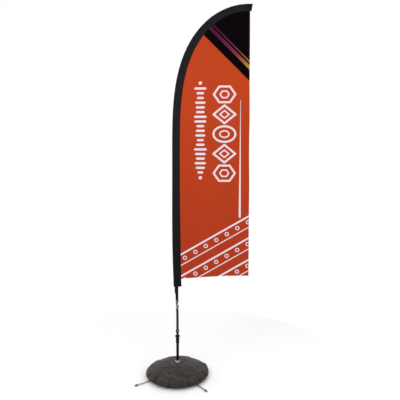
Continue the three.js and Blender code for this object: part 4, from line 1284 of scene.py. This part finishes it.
def build_tensioner():
    made = finishes()
    strap = softened_copy("tension_strap", "strap_webbing", made["webbing"], 0.35)
    settle(strap, "pole", "webbing", "tension_strap")

    middle = np.array([CORD_X, CORD_MIDDLE, 0])
    wire, half_width, low, high = 1.7, 8.0, 566.0, 590.0
    turn = np.linspace(0, 2 * math.pi, 72, endpoint=False)
    centre = (low + high) / 2
    straight = (high - low) / 2 - half_width
    oval = np.stack([half_width * np.cos(turn), 0 * turn,
                     centre + half_width * np.sin(turn) + straight * np.tanh(6 * np.sin(turn))], 1)
    ring = placed(bar_mesh("eye", oval, wire, 16, True), move=middle)
    stem = [(0, 551.9), (2.2, 551.9), (2.9, 552.6), (2.9, 554.3), (1.8, 554.4), (1.8, 564.4),
            (2.6, 565.2), (2.6, 566.4), (0, 567.0)]
    stem = placed(turned_mesh("stem", rounded(stem, 0.3), 32), move=middle)
    eye = add_piece("swivel_ring", combined("swivel_ring", ring, [stem]), made["bright_steel"])
    settle(eye, "pole", "bright_steel", "swivel_eye")

    hook = softened_copy("hook_body", "snap_hook", made["hook_chrome"], 0.3)
    settle(hook, "hook", "hook_chrome", "hook_body")
    gate = softened_copy("hook_gate", "snap_gate", made["hook_chrome"], 0.25)
    settle(gate, "gate", "hook_chrome", "hook_gate")

    anchor = softened_copy("cord_anchor", "anchor_clamp", made["black_plastic"], 0.5, 3)
    settle(anchor, "pole", "black_plastic", "cord_anchor")


# ---------------------------------------------------------------- base

LEG_HEIGHT = 6.5
LEG_RADIUS = 5.0
LEG_REACH = {"front": 378.0, "rear": 240.0}
CAP_FLOOR = 5.0
LEG_BEARINGS = {"lower": 216.5, "upper": 306.5}


def cap_profile(reach):
    cap_radius, inner, start = 6.5, 5.3, reach - 22.0
    bar_end = reach - CAP_FLOOR + 0.3
    return [(0, bar_end), (inner, bar_end), (inner, start), (cap_radius - 0.5, start),
            (cap_radius, start + 0.8), (cap_radius, reach - 2.2),
            (cap_radius - 0.9, reach - 0.7), (cap_radius - 2.6, reach), (0, reach)]


def build_base():
    made = finishes()
    front_end, rear_end = (LEG_REACH[end] - CAP_FLOOR for end in ("front", "rear"))
    lower_path = [(-rear_end, 0, LEG_HEIGHT), (front_end, 0, LEG_HEIGHT)]
    boss = turned_mesh("boss", rounded([(0, 0), (20, 0), (20, 11.5), (0, 11.5)], 0.8), 64)
    holes = [turned_mesh("head_room", [(0, -1), (9, -1), (9, 5.8), (0, 5.8)], 48),
             turned_mesh("bolt_hole", [(0, -1), (5.3, -1), (5.3, 13), (0, 13)], 48)]
    lower = combined("lower", bar_mesh("bar", lower_path, LEG_RADIUS, 24), [boss])
    lower = combined("lower", lower, holes, "DIFFERENCE")

    upper_low, upper_high = 13.1, 23.1
    hump = (upper_low + upper_high) / 2
    side = [(200, LEG_HEIGHT), (100, LEG_HEIGHT), (82, LEG_HEIGHT), (72, LEG_HEIGHT + 0.6),
            (48, hump - 0.8), (40, hump - 0.1), (20, hump)]
    path = [(-rear_end, 0, LEG_HEIGHT), *((-x, 0, z) for x, z in side),
            *((x, 0, z) for x, z in side[::-1]), (front_end, 0, LEG_HEIGHT)]
    profile = [(0, upper_low), (20, upper_low), (20, upper_high), (0, upper_high)]
    boss = turned_mesh("boss", rounded(profile, 0.8), 64)
    hole = turned_mesh("bolt_hole", [(0, 10), (5.3, 10), (5.3, 26), (0, 26)], 48)
    upper = combined("upper", bar_mesh("bar", smooth_path(path, 6), LEG_RADIUS, 24), [boss])
    upper = combined("upper", upper, [hole], "DIFFERENCE")

    for name, mesh, body in (("lower", lower, "base"), ("upper", upper, "folding_leg")):
        bearing = LEG_BEARINGS[name]
        bar = add_piece(f"{name}_leg", placed(mesh, turn=(0, 0, bearing)), made["leg_steel"])
        settle(bar, body, "leg_steel", f"{name}_leg_bar")
        for end, turn in (("front", 0), ("rear", 180)):
            cap = turned_mesh("cap", cap_profile(LEG_REACH[end]), 40)
            placed(cap, turn=(0, 90, 0), move=(0, 0, LEG_HEIGHT))
            cap = add_piece(f"{name}_{end}_cap", placed(cap, turn=(0, 0, bearing + turn)),
                            made["cap_rubber"])
            settle(cap, body, "cap_rubber", f"{name}_{end}_end_cap")


# ---------------------------------------------------------------- spindle


def build_spindle():
    made = finishes()
    rounds = {
        "spindle_sleeve": ("spindle_tube", "base", "black_steel", [
            (10.5, 27.7), (10.5, 250), (8, 250), (8, 27.7), (10.5, 27.7)], 0.5),
        "spindle_flange": ("spindle_foot", "base", "black_steel", [
            (5.3, 23.4), (23, 23.4), (23, 27.4), (5.3, 27.4), (5.3, 23.4)], 0.9),
        "rotator_housing": ("bearing_housing", "base", "black_plastic", [
            (10.8, 239), (12.8, 239), (13.5, 240), (13.5, 248.5), (13.1, 249.2), (13.1, 251.2),
            (13.5, 251.9), (13.5, 277.5), (13.1, 278.2), (13.1, 279.6), (13.5, 280.3), (13.5, 288),
            (12.5, 289), (11.3, 289), (11.3, 253.3), (4.5, 253.3), (4.5, 250.3), (10.8, 250.3),
            (10.8, 239)], 0.35),
        "seat_cup": ("pole_seat", "rotator", "black_plastic", [
            (6.9, 293.0), (6.9, 290.6), (12.5, 290.6), (19.1, 293), (20.5, 294.4), (20.5, 296.5),
            (19.5, 297.5), (11.2, 297.5), (6.9, 297.5), (6.9, 293.0)], 0.5),
        "collar_ring": ("bag_collar", "bag", "grey_plastic", [
            (14.4, 62), (17.2, 62), (18, 63), (18, 96.5), (16.5, 98), (15, 98), (14.4, 97),
            (14.4, 62)], 0.5),
    }
    for name, (node, body, slot, profile, edge) in rounds.items():
        shift = measured(node)[0][2] - min(z for _, z in profile)
        profile = [(r, z + shift) for r, z in profile]
        piece = add_piece(name, turned_mesh(name, rounded(profile, edge), 64), made[slot])
        settle(piece, body, slot, node)


# ---------------------------------------------------------------- water bag


def bag_finish():
    """Coated cloth: soft sheen, fine grain, brown and olive cast, and painted shade in its puckers
    and along its lower rim.
    """
    settings = bpy.context.scene.flag_bag
    material, tree, shader = new_material("Coated Bag Cloth")
    place = tree.nodes.new("ShaderNodeTexCoord").outputs["Object"]
    surface = use_group(tree, grain_group(), vector=place, fine_scale=1100.0, broad_scale=6.5)
    cloth = use_group(tree, weave_group(), vector=place, pitch=0.0016)
    scuffs = use_group(tree, wear_group(), vector=place, amount=0.25, scale=22.0).outputs[0]
    settled = use_group(tree, dust_group(), vector=place, amount=0.035).outputs[0]
    fold_shade = add_node(tree, "ShaderNodeAttribute", attribute_name="crease").outputs["Fac"]
    skin = np.array(tuple(settings.skin_colour))
    cast = add_node(tree, "ShaderNodeTexNoise", {
        "Vector": place, "Scale": 5.0, "Detail": 2.0}).outputs[0]
    ground = blend_colours(tree, step_up(tree, cast, 0.38, 0.62), skin * [1.1, 0.94, 0.9],
                           skin * [0.92, 1.0, 0.88])
    mottled = calc(tree, "MULTIPLY", surface.outputs["Mottle"], 0.35)
    ground = blend_colours(tree, mottled, ground, skin * 0.68)
    ground = blend_colours(tree, scuffs, ground, skin * 1.7)
    ground = blend_colours(tree, settled, ground, (0.2, 0.19, 0.17))
    # Painted shade: the crease attribute darkens the cloth in the puckers and along the lower rim.
    ground = blend_colours(tree, fold_shade, ground, skin * [0.16, 0.1, 0.1])
    tree.links.new(ground, shader.inputs["Base Color"])
    shader.inputs["Specular IOR Level"].default_value = 0.26
    rough = calc(tree, "MULTIPLY_ADD", surface.outputs["Mottle"], 0.16, 0.42)
    tree.links.new(calc(tree, "MULTIPLY_ADD", settled, 0.3, rough, clamp=True),
                   shader.inputs["Roughness"])
    height = calc(tree, "MULTIPLY_ADD", surface.outputs["Height"], 0.6,
                  calc(tree, "MULTIPLY", cloth.outputs["Height"], 0.4))
    tree.links.new(bumped(tree, height, 0.1), shader.inputs["Normal"])
    return material


def bag_profile():
    """[radius, height] points of the bag from its hole, over its underside and rim, to its
    crown, and how many of them are underneath."""
    settings = bpy.context.scene.flag_bag
    radius, height = settings.radius / MM, settings.height / MM
    bottom = float(measured("water_bag")[0][2])
    hollow, hole, hollow_top = 86.0, 18.6, bottom + 15.8
    crown_hole = bottom + 77.8
    rim = radius - hollow
    skin = [(0.10, 0.0), (0.03, 0.05), (0.0, 0.13), (0.03, 0.25), (0.17, 0.41), (0.47, 0.59),
            (0.79, 0.78), (1.1, 0.94), (1.28, 1.0)]
    skin = [(radius - rim * inward, bottom + height * up) for inward, up in skin]
    upper = smooth_path([*skin, (29, bottom + height - 2.2), (hole, crown_hole)], 9)
    under = smooth_path([
        (hole, hollow_top), (50, hollow_top), (76, hollow_top - 1.5), (hollow, bottom + 7),
        (92, bottom + 0.6), (130, bottom), (190, bottom), skin[0]], 6)
    return np.vstack([under[:-1], upper]), len(under) - 1


# Deep puckers at the rim: bearing in degrees, half width in degrees and depth in millimetres.
DEEP_PUCKERS = [(294, 2.6, 17), (281, 2.0, 8), (258, 2.4, 15), (243, 2.0, 6), (228, 2.5, 14),
                (206, 2.4, 5), (318, 2.4, 12), (340, 2.6, 8), (30, 2.4, 10), (56, 2.2, 6),
                (88, 2.6, 9), (133, 2.8, 10), (162, 2.2, 5)]


def bag_shape():
    """Rings of the filled bag, with puckers at its rim and creases on its crown."""
    settings = bpy.context.scene.flag_bag
    radius, forward = settings.radius / MM, settings.forward / MM
    profile, under = bag_profile()
    sides = 240
    around = np.ones(sides)
    bearings = np.linspace(0, 2 * math.pi, sides, endpoint=False)
    r, z = profile[:, :1] * around, profile[:, 1:] * around
    a = np.ones((len(profile), 1)) * bearings
    top = (np.arange(len(profile)) >= under)[:, None] * 1.0
    reach = smoothstep(r, radius - 95, radius - 4)
    random = np.random.default_rng(settings.seed)
    fold = np.zeros_like(a)
    for bearing, width, depth in DEEP_PUCKERS:
        width = math.radians(width) * (0.35 + 0.85 * reach)
        away = np.angle(np.exp(1j * (a - math.radians(bearing + random.uniform(-1.5, 1.5)))))
        fold += depth * (np.exp(-(away / width) ** 2) - 0.35 * np.exp(-(away / (width * 2.3)) ** 2))
    for _ in range(14):
        away = np.angle(np.exp(1j * (a - random.uniform(0, 2 * math.pi))))
        fold += random.uniform(-1.0, 1.8) * np.exp(-(away / random.uniform(0.04, 0.08)) ** 2)
    pucker = settings.pucker / MM / 5.5
    inward = pucker * fold * reach ** 1.5
    r = r - np.clip(inward, -2.5, 16)
    z = z - top * np.clip(inward, -3, 9) * 0.6 * smoothstep(z, 20, 46)
    x, y = r * np.cos(a), r * np.sin(a)
    y = y - forward * smoothstep(profile[:, :1] * around, 86, radius)
    points = np.stack([x, y, z], -1)
    samples = points.reshape(-1, 3) * [1, 1, 0.4]
    broad = ripple(samples, 0.012, settings.seed).reshape(x.shape)
    fine = ripple(samples, 0.03, settings.seed + 2).reshape(x.shape)
    band = smoothstep(profile[:, :1], 34, 80) * smoothstep(z, 20, 42)
    points[..., 2] += top * band * (4.4 * broad + 1.8 * fine)
    corner = np.hypot(x - 222, y - 30)
    points[..., 2] += top * (9 * np.exp(-(corner / 17) ** 2) + 5 * np.exp(-(corner / 44) ** 2))
    dip = np.exp(-(x / 30) ** 2) * np.exp(-((y + 38) / 24) ** 2)
    points[..., 2] -= top * 9 * dip
    crease = np.abs((y + 96) + 0.12 * (x - 30)) + 4 * smoothstep(np.abs(x - 30), 40, 70)
    points[..., 2] += top * 2.6 * np.exp(-(crease / 7) ** 2)
    return points


def inflated(mesh, frames, pressure, cap, held, tight):
    """The mesh after its cloth is filled and pulled in along its seam. Points may move as far
    as the cap, in millimetres. Held and tight give each point's share from its place."""
    source = add_piece("bag_work", mesh)
    shell = source.modifiers.new("Even Cloth", "REMESH")
    shell.mode = "VOXEL"
    shell.voxel_size = 5 * MM
    cloth_mesh = applied(source)
    bpy.data.objects.remove(source)
    start = np.zeros(len(cloth_mesh.vertices) * 3)
    cloth_mesh.vertices.foreach_get("co", start)
    start = start.reshape(-1, 3)
    work = add_piece("bag_work", cloth_mesh)
    for name, rule in (("held", held), ("tight", tight)):
        group = work.vertex_groups.new(name=name)
        for index, share in enumerate(rule(start / MM)):
            if share > 0:
                group.add([index], float(share), "REPLACE")
    cloth = work.modifiers.new("Cloth", "CLOTH")
    settings = cloth.settings
    settings.quality = 5
    settings.mass = 0.25
    settings.tension_stiffness = settings.compression_stiffness = 12
    settings.shear_stiffness = 6
    settings.bending_stiffness = 0.3
    settings.use_pressure = True
    settings.uniform_pressure_force = pressure
    settings.effector_weights.gravity = 0
    settings.vertex_group_mass = "held"
    settings.vertex_group_shrink = "tight"
    settings.shrink_min = -0.012
    settings.shrink_max = 0.05
    cloth.point_cache.frame_end = frames
    for step in range(1, frames + 1):
        bpy.context.scene.frame_set(step)
    result = applied(work)
    bpy.context.scene.frame_set(1)
    bpy.data.objects.remove(work)
    end = np.zeros(len(start) * 3)
    result.vertices.foreach_get("co", end)
    move = end.reshape(-1, 3) - start
    far = np.linalg.norm(move, axis=1)[:, None]
    move *= np.minimum(1, cap * MM / np.maximum(far, 1e-9))
    result.vertices.foreach_set("co", (start + move).ravel())
    result.update()
    return result


def bag_fold_shade(place):
    """Painted shade for each point, from 0 to 1: deeper in the rim's puckers, and some along the
    lower rim.
    """
    settings = bpy.context.scene.flag_bag
    radius, forward = settings.radius / MM, settings.forward / MM
    distance = np.hypot(place[:, 0], place[:, 1] + forward)
    bearing = np.arctan2(place[:, 1] + forward, place[:, 0])
    reach = smoothstep(distance, radius - 44, radius - 10)
    depth = np.zeros(len(place))
    for centre, width, fold in DEEP_PUCKERS:
        width = math.radians(width) * (0.25 + 0.9 * reach)
        away = np.angle(np.exp(1j * (bearing - math.radians(centre))))
        depth = np.maximum(depth, min(1, (fold / 15) ** 1.5) * np.exp(-(away / width) ** 2) * reach)
    # Painted shade along the lower rim, under the bulge.
    rim = (1 - smoothstep(place[:, 2], 24, 44)) * smoothstep(distance, radius - 50, radius - 20)
    return np.clip(depth + 0.35 * rim, 0, 0.9)


def build_bag():
    points = bag_shape()
    mesh = make_mesh("water_bag_skin", *loft(points, closed_path=True))
    forward = bpy.context.scene.flag_bag.forward / MM

    def held(place):
        distance = np.hypot(place[:, 0], place[:, 1])
        return np.maximum(1 - smoothstep(distance, 40, 70), 1 - smoothstep(place[:, 2], 13, 16))

    def tight(place):
        distance = np.hypot(place[:, 0], place[:, 1] + forward)
        rim = 1 - smoothstep(np.abs(place[:, 2] - 24), 6, 16)
        return rim * smoothstep(distance, 205, 225)

    mesh = inflated(mesh, 14, 0.7, 5.0, held, tight)
    place = np.zeros(len(mesh.vertices) * 3)
    mesh.vertices.foreach_get("co", place)
    # Painted shade for the puckers and the lower rim, kept as the crease attribute.
    add_field(mesh, "crease", bag_fold_shade(place.reshape(-1, 3) / MM))
    bag = add_piece("water_bag_skin", mesh, bag_finish())
    finer = bag.modifiers.new("Finer", "SUBSURF")
    finer.levels = finer.render_levels = 1
    low, high = measured("filler_neck")
    neck_height = (low[2] + high[2]) / 2
    settle(bag, "bag", "bag_cloth", "water_bag")

    made = finishes()
    neck_start, neck_end = low[1], high[1]
    neck = [(0, neck_start), (7.5, neck_start), (7.5, neck_end - 7), (7.9, neck_end - 6.2),
            (7.5, neck_end - 5.2), (7.5, neck_end), (5, neck_end), (5, neck_start + 3),
            (0, neck_start + 3)]
    neck = placed(turned_mesh("neck", rounded(neck, 0.3), 40), turn=(-90, 0, 0),
                  move=(0, 0, neck_height))
    spout = add_piece("filler_spout", neck, made["black_plastic"])
    settle(spout, "bag", "black_plastic", "filler_neck")
    cap = softened_copy("filler_cap", "filler_lid", made["black_plastic"], 0.6, 3)
    settle(cap, "cap", "black_plastic", "filler_cap")


# ---------------------------------------------------------------- the rest of the frame

KEPT_FINISHES = {
    "bright_steel": ("pivot_bolt", "spindle_plug", "spigot", "lock_nut", "lower_bearing",
                     "upper_bearing", "bearing_retainer", "anchor_screw"),
    "black_steel": ("bearing_spacer",),
    "nylon": ("pivot_washer",),
    "pole_carbon": ("pole_middle_section", "pole_upper_section"),
    "fibreglass": ("lower_joint_spigot", "upper_joint_spigot", "pole_tip_section"),
    "black_plastic": ("pole_tip_cap",),
    "brass": ("gate_pin",),
}


def finish_kept_nodes():
    made = finishes()
    for slot, nodes in KEPT_FINISHES.items():
        for node in nodes:
            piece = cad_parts[node]
            piece.data.materials.clear()
            piece.data.materials.append(made[slot])


# ---------------------------------------------------------------- stage

FLOOR_RADIUS = 1500
FLOOR_DROP = 0.2
LIGHT_TARGET = Vector((0.15, 0, 1.3))


def build_stage():
    settings = bpy.context.scene.flag_stage
    data = bpy.data.cameras.new("Camera")
    data.lens = settings.lens
    data.sensor_width = 36.0
    camera = bpy.data.objects.new("Camera", data)
    camera.location = (settings.camera_side, -settings.camera_back, settings.camera_height)
    camera.rotation_euler = (math.pi / 2 - settings.camera_tilt, 0.0, 0.0)
    bpy.context.scene.collection.objects.link(camera)
    bpy.context.scene.camera = camera

    material, tree, shader = new_material("Pale Floor")
    place = tree.nodes.new("ShaderNodeTexCoord").outputs["Object"]
    surface = use_group(tree, grain_group(), vector=place, fine_scale=60.0, broad_scale=0.6)
    pale = np.array(tuple(settings.floor_colour))
    tree.links.new(blend_colours(tree, surface.outputs["Mottle"], pale * 0.99, pale),
                   shader.inputs["Base Color"])
    shader.inputs["Roughness"].default_value = 0.95
    shader.inputs["Specular IOR Level"].default_value = 0.1
    sides = 96
    turn = np.linspace(0, 2 * math.pi, sides, endpoint=False)
    rim = np.stack([FLOOR_RADIUS * np.cos(turn), FLOOR_RADIUS * np.sin(turn),
                    np.full(sides, -FLOOR_DROP)], 1)
    floor = add_piece("floor", make_mesh("floor", rim, [list(range(sides))], None), material)

    world = bpy.data.worlds.new("Soft Studio")
    bpy.context.scene.world = world
    world.use_nodes = True
    tree = world.node_tree
    sky = tree.nodes["Background"]
    sky.inputs["Color"].default_value = (1.0, 1.0, 1.0, 1.0)
    seen = add_node(tree, "ShaderNodeLightPath").outputs["Is Camera Ray"]
    tree.links.new(calc(tree, "MULTIPLY_ADD", seen, 1.0 - settings.sky_strength,
                        settings.sky_strength), sky.inputs["Strength"])
    for name, place, size, power in (
            ("Key", (-2.6, -4.2, 4.6), 3.0, settings.key_power),
            ("Fill", (3.8, -3.0, 2.6), 3.0, settings.key_power * 0.35),
            ("Back", (0.5, 4.5, 4.0), 3.0, settings.key_power * 0.4)):
        light = bpy.data.lights.new(name, "AREA")
        light.size = size
        light.energy = power
        lamp = bpy.data.objects.new(name, light)
        lamp.location = place
        aim = LIGHT_TARGET - Vector(place)
        lamp.rotation_euler = aim.to_track_quat("-Z", "Y").to_euler()
        bpy.context.scene.collection.objects.link(lamp)
    bpy.context.scene.view_settings.view_transform = "Standard"


# ---------------------------------------------------------------- operators and panel


class FLAG_OT_build_stage(bpy.types.Operator):
    """Makes the camera, the pale floor and the soft lights"""

    bl_idname = "flag.build_stage"
    bl_label = "Stage"

    def execute(self, context):
        build_stage()
        return {"FINISHED"}


class FLAG_OT_build_cord(bpy.types.Operator):
    """Makes the braided cord and its crimp"""

    bl_idname = "flag.build_cord"
    bl_label = "Tension Cord"

    def execute(self, context):
        build_cord()
        return {"FINISHED"}


class FLAG_OT_build_pole(bpy.types.Operator):
    """Makes the pole's bottom tube"""

    bl_idname = "flag.build_pole"
    bl_label = "Pole"

    def execute(self, context):
        build_pole()
        return {"FINISHED"}


class FLAG_OT_build_sleeve(bpy.types.Operator):
    """Makes the sleeve, its seams and its tip cover"""

    bl_idname = "flag.build_sleeve"
    bl_label = "Sleeve"

    def execute(self, context):
        build_sleeve()
        return {"FINISHED"}


class FLAG_OT_build_sail(bpy.types.Operator):
    """Makes the printed sail and its hems"""

    bl_idname = "flag.build_sail"
    bl_label = "Sail"

    def execute(self, context):
        build_sail()
        return {"FINISHED"}


class FLAG_OT_build_tensioner(bpy.types.Operator):
    """Makes the strap, swivel, hook and anchor"""

    bl_idname = "flag.build_tensioner"
    bl_label = "Tensioner"

    def execute(self, context):
        build_tensioner()
        return {"FINISHED"}


class FLAG_OT_build_base(bpy.types.Operator):
    """Makes the two leg bars and their end caps"""

    bl_idname = "flag.build_base"
    bl_label = "Cross Base"

    def execute(self, context):
        build_base()
        return {"FINISHED"}


class FLAG_OT_build_spindle(bpy.types.Operator):
    """Makes the spindle, the rotator and the bag's collar"""

    bl_idname = "flag.build_spindle"
    bl_label = "Spindle"

    def execute(self, context):
        build_spindle()
        return {"FINISHED"}


class FLAG_OT_build_bag(bpy.types.Operator):
    """Makes the water bag, its spout and its lid"""

    bl_idname = "flag.build_bag"
    bl_label = "Water Bag"

    def execute(self, context):
        build_bag()
        return {"FINISHED"}


class FLAG_OT_finish_kept(bpy.types.Operator):
    """Gives the frame's own parts their finishes"""

    bl_idname = "flag.finish_kept"
    bl_label = "Inner Parts"

    def execute(self, context):
        finish_kept_nodes()
        return {"FINISHED"}


OPERATORS = [FLAG_OT_build_stage, FLAG_OT_build_cord, FLAG_OT_build_pole,
             FLAG_OT_build_sleeve, FLAG_OT_build_sail, FLAG_OT_build_tensioner,
             FLAG_OT_build_base, FLAG_OT_build_spindle, FLAG_OT_build_bag,
             FLAG_OT_finish_kept]


class FLAG_PT_panel(bpy.types.Panel):
    """Sizes, colours and building steps of the feather flag"""

    bl_idname = "FLAG_PT_panel"
    bl_label = "Feather Flag"
    bl_space_type = "VIEW_3D"
    bl_region_type = "UI"
    bl_category = "Feather Flag"

    def draw(self, context):
        for key, group in SETTINGS.items():
            box = self.layout.box()
            box.label(text=key.replace("flag_", "").title())
            for name in group.__annotations__:
                box.prop(getattr(context.scene, key), name)
        for operator in OPERATORS:
            self.layout.operator(operator.bl_idname)


def register():
    for group in SETTINGS.values():
        bpy.utils.register_class(group)
    for key, group in SETTINGS.items():
        setattr(bpy.types.Scene, key, PointerProperty(type=group))
    for operator in OPERATORS:
        bpy.utils.register_class(operator)
    bpy.utils.register_class(FLAG_PT_panel)


def unregister():
    bpy.utils.unregister_class(FLAG_PT_panel)
    for operator in reversed(OPERATORS):
        bpy.utils.unregister_class(operator)
    for key, group in SETTINGS.items():
        delattr(bpy.types.Scene, key)
        bpy.utils.unregister_class(group)


def main():
    register()
    for operator in OPERATORS:
        group, name = operator.bl_idname.split(".")
        getattr(getattr(bpy.ops, group), name)()


if __name__ == "__main__":
    main()
